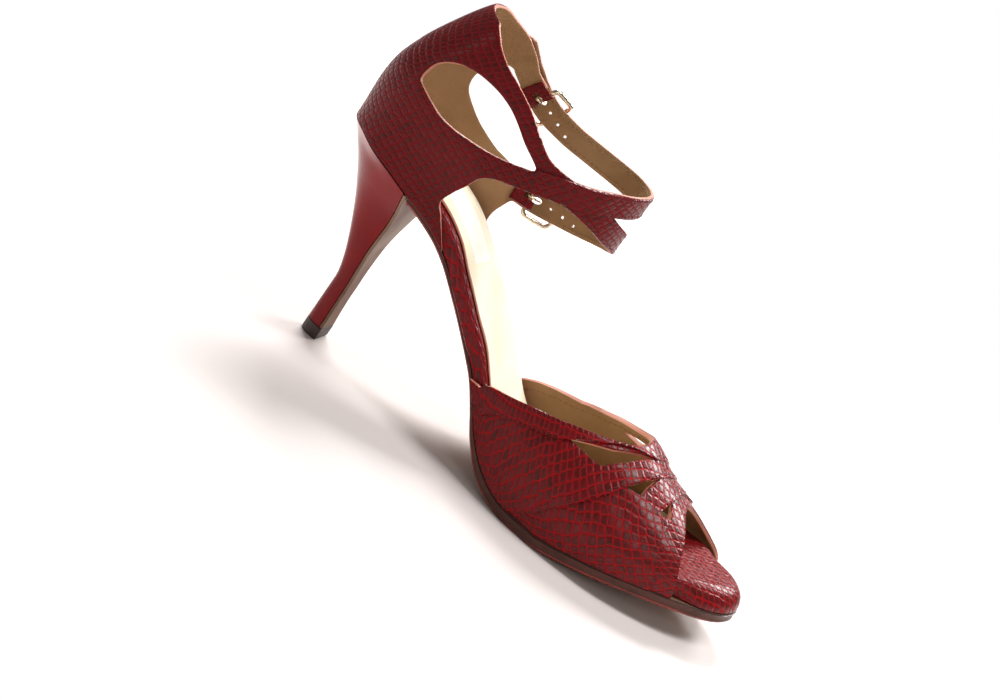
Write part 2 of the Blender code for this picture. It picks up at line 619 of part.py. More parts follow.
def outward(point, flat):
    """Unit normals of a laid pattern, by small steps along it."""
    step = 2e-4
    right = point(flat + (step, 0)) - point(flat - (step, 0))
    up = point(flat + (0, step)) - point(flat - (0, step))
    normal = np.cross(right, up)
    return normal / np.maximum(np.linalg.norm(normal, axis=1, keepdims=True), 1e-12)


def on_pattern(rows):
    """Points of the pattern plane from stations and turns."""
    return np.array(rows) * (LENGTH, TURN_WIDTH)


def vamp_outline():
    topline = rounded(on_pattern(TOPLINE), 4)
    peep = rounded(on_pattern(PEEP_EDGE), 4)
    out_x = np.linspace(PEEP_EDGE[-1][0], TOPLINE[-1][0], 24)[1:-1] * LENGTH
    in_x = np.linspace(TOPLINE[0][0], PEEP_EDGE[0][0], 24)[1:-1] * LENGTH
    outer_feather = np.column_stack([out_x, np.full(len(out_x), TURN_WIDTH)])
    inner_feather = np.column_stack([in_x, np.full(len(in_x), -TURN_WIDTH)])
    return np.concatenate([inner_feather, peep, outer_feather, topline[::-1]])


def vamp_gaps():
    gaps = []
    for corners in GAPS:
        flat = list(on_pattern(corners))
        gap = [a + (b - a) * k / 2 for a, b in zip(flat, flat[1:] + flat[:1]) for k in range(2)]
        gaps.append(np.array(gap))
    return gaps


def build_vamp():
    outline = vamp_outline()
    gaps = vamp_gaps()
    seams = [on_pattern(rows) for rows in SEAMS]

    def keep(points):
        kept = inside(points, outline)
        for gap in gaps:
            kept &= ~inside(points, gap)
        return kept

    lines = []
    for seam in seams:
        for shift in (0.0, STEP_RUN):
            across = np.linspace(seam[0, 1], seam[-1, 1], 27)
            lines.append(np.column_stack([np.interp(across, seam[:, 1], seam[:, 0]) + shift, across]))

    def raised(points):
        """Each band rises toward its front edge and lies on the band ahead of it."""
        marks = [np.interp(points[:, 1], seam[:, 1], seam[:, 0]) for seam in seams]
        x = points[:, 0]
        lift = np.zeros(len(points))
        for k, mark in enumerate(marks):
            behind = marks[k - 1] if k else mark - FIRST_BAND * LENGTH
            run = np.maximum(mark - behind, SHORTEST_RISE)
            share = 1 - (mark - x) / run
            in_band = (x <= mark + 1e-6) & (x > behind + 1e-6)
            lift = np.where(in_band, np.clip(share, 0, 1), lift)
        return OVERLAY * lift

    def lay(points):
        base = vamp_point(points)
        normal = outward(vamp_point, points)
        return on_sole(base + normal * (LEATHER + raised(points))[:, None]), base

    flat, faces = flat_mesh([outline, *gaps], LEATHER_NET, keep, lines)
    return shell("vamp", flat, faces, lay, LEATHER_RED)


class Quarter:
    """The ankle loop unrolled: along it the distance from the back of the heel, upward the height."""

    def __init__(self):
        rows = np.array([(x * ANKLE_REACH, y * ANKLE_WIDTH / 2) for x, y in LOOP])
        path = rounded(rows, 12, closed=True)
        path = np.concatenate([path, path[:1]])
        self.along = np.concatenate([[0], np.cumsum(np.linalg.norm(np.diff(path, axis=0), axis=1))])
        self.path = path
        self.total = self.along[-1]
        self.front = self.along[path[:, 0].argmax()]
        self.low = self.sole_path()

    def sole_path(self):
        """Where the wall stands on the sole, for the same distances along the loop."""
        x = np.linspace(0, FOOT_END * LENGTH, 160)
        low = self.path.copy()
        for side in (-1, 1):
            edge = np.stack([x, side * half_width(x, side)], 1)
            run = np.gradient(edge, axis=0)
            normal = side * np.stack([run[:, 1], -run[:, 0]], 1) / np.linalg.norm(run, axis=1, keepdims=True)
            edge = edge + normal * (WELT + LEATHER)
            edge[0] = (WELT + LEATHER, 0)
            far = np.concatenate([[0], np.cumsum(np.linalg.norm(np.diff(edge, axis=0), axis=1))])
            reach = np.interp(FOOT_MATCH * LENGTH, edge[:, 0], far)
            near = self.side_distance(FOOT_MATCH * LENGTH, side, 0.0)
            away = self.along if side < 0 else self.total - self.along
            mine = (self.along <= self.front) if side < 0 else (self.along > self.front)
            at = away / (near if side < 0 else self.total - near) * reach
            low[mine, 0] = np.interp(at, far, edge[:, 0])[mine]
            low[mine, 1] = np.interp(at, far, edge[:, 1])[mine]
        return low

    def side_distance(self, x, side, height):
        """Distance along the loop at a station, on the inner or the outer side."""
        share = (height - SEAT_HEIGHT) / COLLAR_HEIGHT
        lean = COLLAR_LEAN * flow(CUP, share, 1)
        station = (x - lean) / (1 - lean / ANKLE_REACH)
        if side < 0:
            mine = self.along <= self.front
            return float(np.interp(station, self.path[mine, 0], self.along[mine]))
        mine = self.along >= self.front
        return float(np.interp(-station, -self.path[mine, 0], self.along[mine]))

    def point(self, flat):
        """The inside of the quarter at a point of the pattern."""
        along, height = flat[:, 0] % self.total, flat[:, 1]
        up = [np.interp(along, self.along, self.path[:, i]) for i in (0, 1)]
        low = [np.interp(along, self.along, self.low[:, i]) for i in (0, 1)]
        share = (height - SEAT_HEIGHT) / COLLAR_HEIGHT
        fade = np.clip(1 - up[0] / ANKLE_REACH, 0, 1)
        x = up[0] + COLLAR_LEAN * flow(CUP, share, 1) * fade
        y = up[1] * (1 + (flow(CUP, share, 2) - 1) * fade)
        ground = sole_top(np.clip(low[0], 0, LENGTH))
        rise = ease((height - ground - CUP_BASE) / CUP_BLEND)
        return np.column_stack([low[0] + (x - low[0]) * rise, low[1] + (y - low[1]) * rise, height])


def ribbon(quarter, rows, grow=0.0):
    """Pattern of a strap: its middle line and its closed outline."""
    middle = []
    for leg, station, height, share in rows:
        z = SEAT_HEIGHT + height * COLLAR_HEIGHT
        at = quarter.front if leg == 0 else quarter.side_distance(station * LENGTH, leg, z)
        middle.append((at, z, share * STRAP_WIDTH / 2))
    middle = rounded(middle, 3)
    run = np.gradient(middle[:, :2], axis=0)
    normal = np.stack([-run[:, 1], run[:, 0]], 1) / np.linalg.norm(run, axis=1, keepdims=True)
    half = (middle[:, 2] + grow)[:, None]
    upper, lower = middle[:, :2] + normal * half, middle[:, :2] - normal * half
    direction = run[-1] / np.linalg.norm(run[-1])
    tip = [middle[-1, :2] + direction * half[-1] * math.cos(a) - normal[-1] * half[-1] * math.sin(a)
           for a in (math.pi / 4, 0, -math.pi / 4)]
    return middle, np.concatenate([lower, tip, upper[::-1]])


def build_quarter(quarter, buckles):
    def mark(station, height, side):
        z = SEAT_HEIGHT + height * COLLAR_HEIGHT
        return quarter.side_distance(station * LENGTH, side, z), z

    def outer_side(rows, before=(), after=()):
        marks = [mark(x, h, 1) for x, h in rows]
        return rounded(np.array([*before, *marks, *after]) - (quarter.total, 0), 2)

    tongues = [buckle.pattern(TONGUE_END, side * STRAP_WIDTH / 2) for buckle in buckles for side in (-1, 1)]
    tongues = sorted(tongues, key=lambda end: -end[1])
    inner = [mark(x, h, -1) for x, h in INNER_EDGE]
    collar = [(0.0, SEAT_HEIGHT + COLLAR_HEIGHT)]
    inner_low, inner_top = rounded(inner[:10], 2), rounded(inner[10:], 2)
    outer_top = outer_side(OUTER_TOP, after=tongues[:1])
    outer_hole = outer_side(OUTER_HOLE, before=tongues[1:2], after=tongues[2:3])
    outer_low = outer_side(OUTER_LOW, before=tongues[3:])
    lowest = np.linspace(outer_low[-1, 0], inner_low[0, 0], 41)[1:-1]
    ground = np.interp(lowest % quarter.total, quarter.along, quarter.low[:, 0])
    feather = np.column_stack([lowest, sole_top(ground) + CLEARANCE])
    for end in (inner_low[0], outer_low[-1]):
        end[1] = sole_top(np.interp(end[0] % quarter.total, quarter.along, quarter.low[:, 0])) + CLEARANCE
    body = np.concatenate([feather, inner_low, inner_top, collar, outer_top, outer_hole, outer_low])
    hole = rounded([mark(x, h, -1) for x, h in INNER_HOLE], 2, closed=True)
    upper_middle, upper = ribbon(quarter, UPPER_STRAP)
    _, upper_core = ribbon(quarter, UPPER_STRAP, -STEP_RUN)
    _, lower = ribbon(quarter, LOWER_STRAP)

    slots = []
    for buckle in buckles:
        turn = np.linspace(0, 2 * math.pi, 11)[:-1]
        r = PRONG_SEAT * FRAME_LENGTH + PRONG_HOLE / 2 * np.cos(turn)
        slots.append(buckle.pattern(r, (PRONG_WIRE + 2 * CLEARANCE) * np.sin(turn)))

    def keep(points):
        kept = inside(points, body) | inside(points, upper) | inside(points, lower)
        for opening in (hole, *slots):
            kept &= ~inside(points, opening)
        return kept

    step_from = quarter.side_distance(STEP_FROM * LENGTH, -1, SEAT_HEIGHT + STEP_LEVEL * COLLAR_HEIGHT)
    step_to = quarter.side_distance(STEP_TO * LENGTH, -1, SEAT_HEIGHT + STEP_LEVEL * COLLAR_HEIGHT)
    fade = STEP_FADE * LENGTH

    def raised(points):
        on_strap = inside(points, upper_core) | (distance_to(points, upper_core) < 2e-5)
        here = ease((points[:, 0] - step_from) / fade) * (1 - ease((points[:, 0] - step_to) / fade))
        return OVERLAY * here * on_strap

    flat, faces = flat_mesh([body, hole, *slots, upper, upper_core, lower], LEATHER_NET, keep)

    def lay(points):
        base = quarter.point(points) + outward(quarter.point, points) * strap_lift(quarter, buckles, points)[:, None]
        normal = outward(quarter.point, points)
        return on_sole(base + normal * (LEATHER + raised(points))[:, None]), base

    return shell("quarter", flat, faces, lay, LEATHER_RED)


class Buckle:
    """Where a buckle sits: r runs back along the strap from the front bar, c across it and o outward from the
    inner face of the band behind it."""

    def __init__(self, quarter, rows, station):
        legs = [row[1:3] for row in rows if row[0] == 1][::-1]
        self.quarter = quarter
        self.bar = self.mark(legs, station)
        behind = self.mark(legs, station - FRAME_LENGTH / LENGTH)
        run = np.subtract(behind, self.bar)
        self.along = run / np.linalg.norm(run)
        self.across = np.array([-self.along[1], self.along[0]])

    def mark(self, legs, station):
        z = SEAT_HEIGHT + float(flow(legs, station)) * COLLAR_HEIGHT
        return np.array([self.quarter.side_distance(station * LENGTH, 1, z), z])

    def pattern(self, r, c):
        return self.bar + np.multiply.outer(r, self.along) + np.multiply.outer(c, self.across)

    def place(self, r, c, o):
        flat = self.pattern(np.asarray(r, float), np.asarray(c, float))
        return self.quarter.point(flat) + outward(self.quarter.point, flat) * np.reshape(o, (-1, 1))

    def bar_height(self, r):
        """The frame lies over the band at its pivot and rises over the strap at its front bar."""
        return PIVOT_OUT + (FRONT_OUT - PIVOT_OUT) * (1 - np.asarray(r) / FRAME_LENGTH)


# Heights of the layers at a buckle, outward from the inner face of the band
PIVOT_OUT = LEATHER / 2
TAB_OUT = PIVOT_OUT + FRAME_WIRE + CLEARANCE + TAB_LEATHER
STRAP_OUT = TAB_OUT + 2 * CLEARANCE
STRAP_AT_BAR = STRAP_OUT - BAR_DIP
FRONT_OUT = STRAP_AT_BAR + LEATHER + CLEARANCE + FRAME_WIRE
TONGUE_END = FRAME_LENGTH + FRAME_WIRE + 2 * PRONG_WIRE + 3 * CLEARANCE
# Outward shift of a strap's end: distance behind the front bar, share of its shift over the tab
END_LIFT = (
    (-0.034, 0.0), (-0.014, 0.25), (0.000, STRAP_AT_BAR / STRAP_OUT), (0.008, 1.0), (0.019, 1.0),
    (0.025, (LEATHER + CLEARANCE) / STRAP_OUT), (0.070, (LEATHER + CLEARANCE) / STRAP_OUT),
)


def strap_lift(quarter, buckles, points):
    """The straps' ends pass over the bands on the outer side."""
    middle = np.mean([buckle.bar[1] for buckle in buckles])
    lift = np.zeros(len(points))
    for buckle, mine in zip(buckles, (points[:, 1] > middle, points[:, 1] <= middle)):
        on_strap = mine & (points[:, 0] > quarter.front)
        behind = (points - buckle.bar) @ buckle.along
        lift = np.where(on_strap, STRAP_OUT * flow(END_LIFT, behind), lift)
    return lift


def tube(name, path, radius, finish, closed=False, sides=6):
    """A round wire along a path of points."""
    path = np.asarray(path)
    run = np.roll(path, -1, 0) - np.roll(path, 1, 0)
    if not closed:
        run[0], run[-1] = path[1] - path[0], path[-1] - path[-2]
    run /= np.linalg.norm(run, axis=1, keepdims=True)
    side = np.cross(run[0], (0.0, 0.0, 1.0))
    rings = []
    for point, ahead in zip(path, run):
        side = side - ahead * (side @ ahead)
        side /= np.linalg.norm(side)
        up = np.cross(ahead, side)
        turn = 2 * math.pi * np.arange(sides) / sides
        rings.append(point + radius * (np.outer(np.cos(turn), side) + np.outer(np.sin(turn), up)))
    count = len(rings)
    faces = []
    for i in range(count if closed else count - 1):
        for j in range(sides):
            k = (j + 1) % sides
            after = (i + 1) % count
            faces.append((i * sides + j, i * sides + k, after * sides + k, after * sides + j))
    if not closed:
        faces.append(tuple(range(sides))[::-1])
        faces.append(tuple((count - 1) * sides + j for j in range(sides)))
    return add_object(name, np.concatenate(rings), faces, finish)


def build_frame(name, buckle):
    """Wire frame with round corners; its rear side is the pivot bar."""
    half = STRAP_WIDTH / 2 + FRAME_GAP + FRAME_WIRE
    path = []
    for k, (r, side) in enumerate(((FRAME_LENGTH, 1), (0, 1), (0, -1), (FRAME_LENGTH, -1))):
        centre_r = r - FRAME_CORNER if r else FRAME_CORNER
        centre_c = side * (half - FRAME_CORNER)
        for step in range(5):
            turn = math.pi / 2 * (k + step / 4)
            path.append((centre_r + FRAME_CORNER * math.cos(turn), centre_c + FRAME_CORNER * math.sin(turn)))
    path = np.array(path)
    path = np.concatenate([path, path[:1]])
    dense = [a + (b - a) * t for a, b in zip(path, path[1:])
             for t in ((0, 0.33, 0.67) if np.linalg.norm(b - a) > 2 * FRAME_WIRE else (0,))]
    r, c = np.array(dense).T
    return tube(name, buckle.place(r, c, buckle.bar_height(r)), FRAME_WIRE, PALE_METAL, closed=True)


# Turns of the prong's wire round the pivot bar, in degrees
PRONG_TURNS = (25, 65, 105, 145, 185, 225, 255, 280)
# Prong: shares of the frame's length behind the front bar, and of the height from the pivot to the front bar
PRONG_RISE = ((0.875, 0.50), (0.790, 0.74), (0.700, 0.98), (0.610, 1.10), (0.400, 1.16), (0.150, 1.24), (-0.060, 1.34))


def build_prong(name, buckle):
    """A wire wrapped round the pivot bar, up through the strap and over the front bar."""
    ring = FRAME_WIRE + CLEARANCE + PRONG_WIRE
    path = [(FRAME_LENGTH - ring * math.cos(turn), PIVOT_OUT - ring * math.sin(turn))
            for turn in np.radians(PRONG_TURNS)]
    top = FRONT_OUT + FRAME_WIRE + CLEARANCE + PRONG_WIRE - PIVOT_OUT
    rise = PRONG_RISE[-1][1]
    path += [(r * FRAME_LENGTH, PIVOT_OUT + h / rise * top) for r, h in PRONG_RISE]
    r, o = np.array(path).T
    return tube(name, buckle.place(r, np.zeros(len(r)), o), PRONG_WIRE, PALE_METAL)


def build_tab(name, buckle):
    """A strip folded round the pivot bar, with both ends on the band and a slot for the prong."""
    bend = FRAME_WIRE + CLEARANCE
    arc = math.pi * (bend + TAB_LEATHER / 2)
    half = STRAP_WIDTH / 2
    slot_reach = FRAME_WIRE + 2 * PRONG_WIRE + 2.5 * CLEARANCE
    slot_half = PRONG_WIRE + 2 * CLEARANCE
    outline = np.array([(-TAB_INSIDE, -half), (arc / 2, -half), (arc + TAB_LENGTH, -half), (arc + TAB_LENGTH, half),
                        (arc / 2, half), (-TAB_INSIDE, half)])
    turns = np.linspace(0, arc, 7)
    slot = [(-slot_reach, -slot_half), *((t, -slot_half) for t in turns), (arc + slot_reach, -slot_half),
            (arc + slot_reach, slot_half), *((t, slot_half) for t in turns[::-1]), (-slot_reach, slot_half)]
    slot = np.array(slot)
    folds = [np.array([(t, side * slot_half), (t, side * half)]) for t in turns for side in (-1, 1)]

    def keep(points):
        return inside(points, outline) & ~inside(points, slot)

    def lay(points):
        along, across = points.T
        turn = np.clip(along / arc, 0, 1) * math.pi
        past = np.where(along < 0, -along, np.maximum(along - arc, 0))
        layers = []
        for reach in (bend + TAB_LEATHER, bend):
            r = FRAME_LENGTH + past - reach * np.sin(turn)
            o = PIVOT_OUT - reach * np.cos(turn)
            layers.append(buckle.place(r, across, o))
        return layers

    flat, faces = flat_mesh([outline, slot], TAB_NET, keep, folds)
    return shell(name, flat, faces, lay, LEATHER_RED)


def stand_on_origin():
    """Puts the origin on the ground under the middle of the whole shoe."""
    meshes = [made.data for made in bpy.data.objects]
    corners = np.array([v.co for mesh in meshes for v in mesh.vertices])
    low, high = corners.min(0), corners.max(0)
    shift = Vector((-(low[0] + high[0]) / 2, -(low[1] + high[1]) / 2, -low[2]))
    for mesh in meshes:
        mesh.transform(Matrix.Translation(shift))


def main():
    for old in list(bpy.data.objects):
        bpy.data.objects.remove(old, do_unlink=True)
    build_outsole()
    build_insole()
    build_sock()
    build_heel()
    build_lift()
    build_breast_cover()
    build_vamp()
    quarter = Quarter()
    buckles = [Buckle(quarter, UPPER_STRAP, UPPER_BAR), Buckle(quarter, LOWER_STRAP, LOWER_BAR)]
    build_quarter(quarter, buckles)
    for level_name, buckle in zip(("upper", "lower"), buckles):
        build_frame("buckle_" + level_name, buckle)
        build_prong("prong_" + level_name, buckle)
        build_tab("tab_" + level_name, buckle)
    stand_on_origin()


main()
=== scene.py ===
"""The looks of the left tango shoe: fine leather, lining, sole edge, lacquered heel and wire buckles, worked out
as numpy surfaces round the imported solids.

Metres, +Z up, +X toward the toe, +Y toward the outer side of the foot. Stations run along the shoe from the back
of the heel (0) to the tip of the toe (1). A pattern is a flat piece of leather before it is laid on the last."""

import math

import bmesh
import bpy
import numpy as np
from mathutils import Matrix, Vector
from mathutils.geometry import delaunay_2d_cdt


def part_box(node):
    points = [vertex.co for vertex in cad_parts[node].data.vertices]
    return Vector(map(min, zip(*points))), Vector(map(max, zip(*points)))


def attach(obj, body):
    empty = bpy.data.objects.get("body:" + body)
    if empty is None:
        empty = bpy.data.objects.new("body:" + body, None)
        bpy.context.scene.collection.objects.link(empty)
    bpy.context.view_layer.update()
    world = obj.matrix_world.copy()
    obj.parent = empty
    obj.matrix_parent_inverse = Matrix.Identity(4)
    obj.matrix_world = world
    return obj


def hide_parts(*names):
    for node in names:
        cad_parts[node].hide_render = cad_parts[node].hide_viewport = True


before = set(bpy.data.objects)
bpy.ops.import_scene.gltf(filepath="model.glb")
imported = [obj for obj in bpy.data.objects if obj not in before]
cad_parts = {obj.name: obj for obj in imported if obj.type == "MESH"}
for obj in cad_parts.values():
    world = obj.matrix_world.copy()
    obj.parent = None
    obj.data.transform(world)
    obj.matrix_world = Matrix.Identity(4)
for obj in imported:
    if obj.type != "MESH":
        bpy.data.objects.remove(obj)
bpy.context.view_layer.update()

# Sizes of the whole shoe
LENGTH = 0.2150
BALL_WIDTH = 0.0765
SEAT_HEIGHT = 0.0775
TOE_SPRING = 0.0116
INSTEP_HEIGHT = 0.0480
COLLAR_HEIGHT = 0.0590
COLLAR_LEAN = 0.0215
ANKLE_WIDTH = 0.0570
ANKLE_REACH = 0.1025

# Thicknesses
OUTSOLE = 0.0040
WAIST_OUTSOLE = 0.0024
INSOLE = 0.0075
SOCK = 0.0010
LEATHER = 0.0018
OVERLAY = 0.0010
CLEARANCE = 0.0003

# Edges of the sole group
WELT = 0.0005
BEVEL = 0.0011
WAIST_INSET = 0.0030
INSOLE_ROUND = 0.0024
TOE_ROUND = 0.0072
SOCK_MARGIN = 0.0028
SOCK_END = 0.1800

# Heel
BREAST = 0.0360
HEEL_WAIST_HEIGHT = 0.0220
HEEL_WAIST_WIDTH = 0.0110
HEEL_TIP_WIDTH = 0.0130
HEEL_TIP_REAR = 0.0268
HEEL_TIP_FRONT = 0.0338
LIFT = 0.0050
COVER = 0.0010
BEAD = 0.0003

# Straps and buckles
STRAP_WIDTH = 0.0088
STEP_RUN = 0.0004
FRAME_WIRE = 0.0009
FRAME_LENGTH = 0.0100
FRAME_GAP = 0.0014
FRAME_CORNER = 0.0018
PRONG_WIRE = 0.0005
PRONG_HOLE = 0.0036
TAB_LEATHER = 0.0011
TAB_LENGTH = 0.0080
TAB_INSIDE = 0.0070

# Spacing of the points inside the plates and inside the leather
PLATE_NET = 0.0060
SOCK_NET = 0.0072
LEATHER_NET = 0.0055

# Height of the top of the sole: station along the length, share of the rise to the seat
ARCH = (
    (0.000, 1.000), (0.038, 0.990), (0.083, 0.952), (0.130, 0.912), (0.168, 0.876), (0.204, 0.844),
    (0.242, 0.799), (0.279, 0.733), (0.325, 0.623), (0.372, 0.506), (0.419, 0.384), (0.456, 0.267),
    (0.493, 0.150), (0.530, 0.067), (0.565, 0.022), (0.590, 0.005), (0.612, 0.000), (0.640, 0.000),
)
# Rise of the toe: station, share of the toe spring
SPRING = (
    (0.666, 0.000), (0.698, 0.100), (0.744, 0.276), (0.791, 0.466), (0.837, 0.638), (0.884, 0.776),
    (0.930, 0.879), (0.977, 0.948), (1.000, 1.000),
)
# Sole outline: station, inner and outer half width as shares of the ball width
HALF_WIDTHS = (
    (0.112, 0.344, 0.344), (0.163, 0.342, 0.346), (0.224, 0.327, 0.344), (0.279, 0.310, 0.340),
    (0.349, 0.298, 0.340), (0.419, 0.314, 0.357), (0.489, 0.360, 0.392), (0.558, 0.425, 0.442),
    (0.628, 0.481, 0.484), (0.697, 0.505, 0.501), (0.767, 0.497, 0.494),
)
HEEL_END, HEEL_POWER = 0.112, 2.0
# Station of the quarter's front end, and the length over which the insole widens past the upper
QUARTER_FRONT, FREE_RUN = 0.281, 0.045
TOE_END, TOE_POWER_IN, TOE_POWER_OUT, TOE_TIP_POWER = 0.767, 1.45, 1.50, 1.95
# Ridge of the vamp's inside: station, share of the instep height, inner and outer fullness of the section
RIDGE = (
    (0.419, 1.70, 2.3, 2.2), (0.489, 1.42, 2.4, 2.1), (0.558, 1.22, 2.5, 2.0), (0.646, 1.05, 2.5, 1.9),
    (0.697, 0.975, 2.45, 1.72), (0.735, 0.915, 2.35, 1.65), (0.767, 0.830, 2.25, 1.65),
    (0.805, 0.745, 2.20, 1.80), (0.845, 0.675, 2.20, 1.85), (0.884, 0.590, 2.20, 1.95),
    (0.930, 0.500, 2.20, 2.10), (0.977, 0.410, 2.20, 2.20),
)
RIDGE_SIDE = -0.040
# Back of the heel cup: share of the collar height, lean as a share, width as a share
CUP = (
    (0.000, 0.02, 0.93), (0.158, -0.04, 0.975), (0.373, 0.04, 1.00), (0.573, 0.22, 0.985),
    (0.786, 0.54, 0.935), (0.961, 0.86, 0.87), (1.000, 0.95, 0.85),
)
CUP_BASE = 0.0020
CUP_BLEND = 0.0330
# The ankle loop seen from above: station as a share of the reach, side as a share of half the ankle width
LOOP = (
    (0.018, 0.00), (0.032, -0.33), (0.085, -0.64), (0.172, -0.865), (0.290, -0.960), (0.420, -0.985),
    (0.550, -1.000), (0.680, -1.000), (0.800, -0.945), (0.895, -0.780), (0.968, -0.470), (1.000, 0.00),
    (0.970, 0.46), (0.910, 0.77), (0.815, 0.98), (0.700, 1.070), (0.565, 1.090), (0.430, 1.050),
    (0.295, 0.985), (0.175, 0.875), (0.085, 0.64), (0.032, 0.33),
)

# Pattern of the quarter. Heights are shares of the collar height above the seat's rear.
# Inner side, from the sole upward and back along the topline: station, height
INNER_EDGE = (
    (0.270, -0.300), (0.250, -0.200), (0.236, -0.130), (0.223, -0.060), (0.232, 0.030), (0.245, 0.114),
    (0.259, 0.205), (0.275, 0.247), (0.296, 0.277), (0.316, 0.296), (0.330, 0.500), (0.318, 0.560),
    (0.303, 0.596), (0.282, 0.652), (0.258, 0.705), (0.225, 0.762), (0.196, 0.805), (0.168, 0.865),
    (0.146, 0.935), (0.124, 0.988),
)
# Outer side: the topline to the upper buckle, the cut-out between the two buckles, and the edge from the
# lower buckle down to the sole
OUTER_TOP = ((0.108, 0.990), (0.139, 0.926), (0.158, 0.878), (0.176, 0.822), (0.190, 0.765))
OUTER_HOLE = (
    (0.182, 0.600), (0.168, 0.650), (0.152, 0.690), (0.136, 0.690), (0.120, 0.650), (0.109, 0.585),
    (0.102, 0.520), (0.103, 0.450), (0.113, 0.395), (0.145, 0.311), (0.172, 0.265), (0.197, 0.232),
    (0.226, 0.206),
)
OUTER_LOW = ((0.276, 0.020), (0.270, -0.030), (0.264, -0.090), (0.263, -0.150), (0.268, -0.225), (0.276, -0.300))
INNER_HOLE = (
    (0.0890, 0.447), (0.0895, 0.510), (0.0960, 0.570), (0.1120, 0.622), (0.1330, 0.658), (0.1620, 0.675),
    (0.1900, 0.672), (0.2140, 0.657), (0.2380, 0.628), (0.2600, 0.585), (0.2850, 0.525), (0.3240, 0.443),
    (0.3030, 0.405), (0.2850, 0.386), (0.2640, 0.368), (0.2400, 0.355), (0.2080, 0.346), (0.1770, 0.343),
    (0.1480, 0.356), (0.1220, 0.390), (0.1020, 0.420),
)
# Straps, from the inner side round the front to the free end on the outer side:
# leg (-1 inner, 0 front, 1 outer), station, height of the middle, share of the strap width
UPPER_STRAP = (
    (-1, 0.290, 0.336, 0.90), (-1, 0.316, 0.365, 0.93), (-1, 0.343, 0.396, 0.98), (-1, 0.377, 0.435, 1.0),
    (-1, 0.415, 0.473, 1.0), (-1, 0.450, 0.522, 1.0), (0, 0.478, 0.560, 1.0), (1, 0.450, 0.560, 1.0),
    (1, 0.429, 0.561, 1.0), (1, 0.379, 0.556, 1.0), (1, 0.335, 0.556, 1.0), (1, 0.290, 0.560, 1.0),
    (1, 0.240, 0.585, 1.0), (1, 0.206, 0.640, 1.0), (1, 0.181, 0.700, 1.0), (1, 0.158, 0.780, 1.0),
    (1, 0.143, 0.835, 1.0),
)
LOWER_STRAP = (
    (-1, 0.292, 0.560, 0.72), (-1, 0.309, 0.512, 0.78), (-1, 0.330, 0.470, 0.86), (-1, 0.358, 0.449, 0.95),
    (-1, 0.392, 0.440, 1.0), (-1, 0.421, 0.425, 1.0), (-1, 0.447, 0.392, 1.0), (-1, 0.465, 0.350, 1.0),
    (0, 0.478, 0.300, 1.0), (1, 0.463, 0.250, 1.0), (1, 0.437, 0.210, 1.0), (1, 0.391, 0.155, 1.0),
    (1, 0.345, 0.116, 1.0), (1, 0.310, 0.108, 1.0), (1, 0.279, 0.110, 1.0), (1, 0.251, 0.122, 1.0),
    (1, 0.224, 0.138, 1.0), (1, 0.203, 0.152, 1.0),
)
# Stations of the buckles' front bars
UPPER_BAR, LOWER_BAR = 0.250, 0.345
STEP_FROM, STEP_TO, STEP_FADE = 0.290, 0.427, 0.036

# Pattern of the vamp: station, turn over the section from -1 on the inner edge of the sole to 1 on the outer
TOPLINE = (
    (0.430, -1.000), (0.4640, -0.835), (0.5350, -0.648), (0.5940, -0.520), (0.6480, -0.398), (0.6900, -0.275),
    (0.7120, -0.150), (0.7180, 0.020), (0.7120, 0.170), (0.6900, 0.310), (0.6380, 0.465), (0.5900, 0.560),
    (0.5260, 0.690), (0.4780, 0.840), (0.445, 1.000),
)
PEEP_EDGE = (
    (0.893, -1.000), (0.8870, -0.880), (0.8760, -0.680), (0.8620, -0.420), (0.8470, -0.240), (0.8340, -0.090),
    (0.8310, 0.060), (0.8420, 0.200), (0.8700, 0.380), (0.9050, 0.650), (0.9240, 0.860), (0.932, 1.000),
)
# Gaps, each round its edge from the apex: apex, upper edge, rear corner, front corner, lower edge
GAPS = (
    ((0.7400, -0.120), (0.6820, -0.372), (0.6195, -0.548), (0.6820, -0.508), (0.7100, -0.354)),
    ((0.7630, -0.170), (0.7420, -0.394), (0.7325, -0.474), (0.7580, -0.419), (0.7590, -0.310)),
    ((0.8035, -0.157), (0.8000, -0.276), (0.7970, -0.383), (0.8180, -0.344), (0.8115, -0.252)),
    ((0.7560, 0.190), (0.7110, 0.330), (0.6680, 0.450), (0.7040, 0.420), (0.7280, 0.320)),
    ((0.7800, 0.190), (0.7640, 0.310), (0.7530, 0.390), (0.7770, 0.380), (0.7800, 0.290)),
    ((0.8140, 0.190), (0.8120, 0.280), (0.8120, 0.360), (0.8320, 0.330), (0.8240, 0.260)),
)
# Seams between the bands, rear to front, each from the inner edge of the sole to the outer
SEAMS = (
    ((0.450, -1.000), (0.501, -0.819), (0.553, -0.700), (0.602, -0.602), (0.619, -0.550), (0.700, -0.260),
     (0.740, -0.110), (0.760, 0.210), (0.668, 0.455), (0.584, 0.640), (0.500, 0.860), (0.470, 1.000)),
    ((0.608, -1.000), (0.634, -0.911), (0.671, -0.797), (0.710, -0.637), (0.732, -0.475), (0.763, -0.170),
     (0.786, 0.190), (0.753, 0.390), (0.710, 0.620), (0.665, 0.850), (0.640, 1.000)),
    ((0.857, -1.000), (0.852, -0.930), (0.834, -0.680), (0.818, -0.390), (0.818, -0.343), (0.8035, -0.157),
     (0.816, 0.190), (0.832, 0.330), (0.835, 0.560), (0.826, 0.850), (0.820, 1.000)),
)


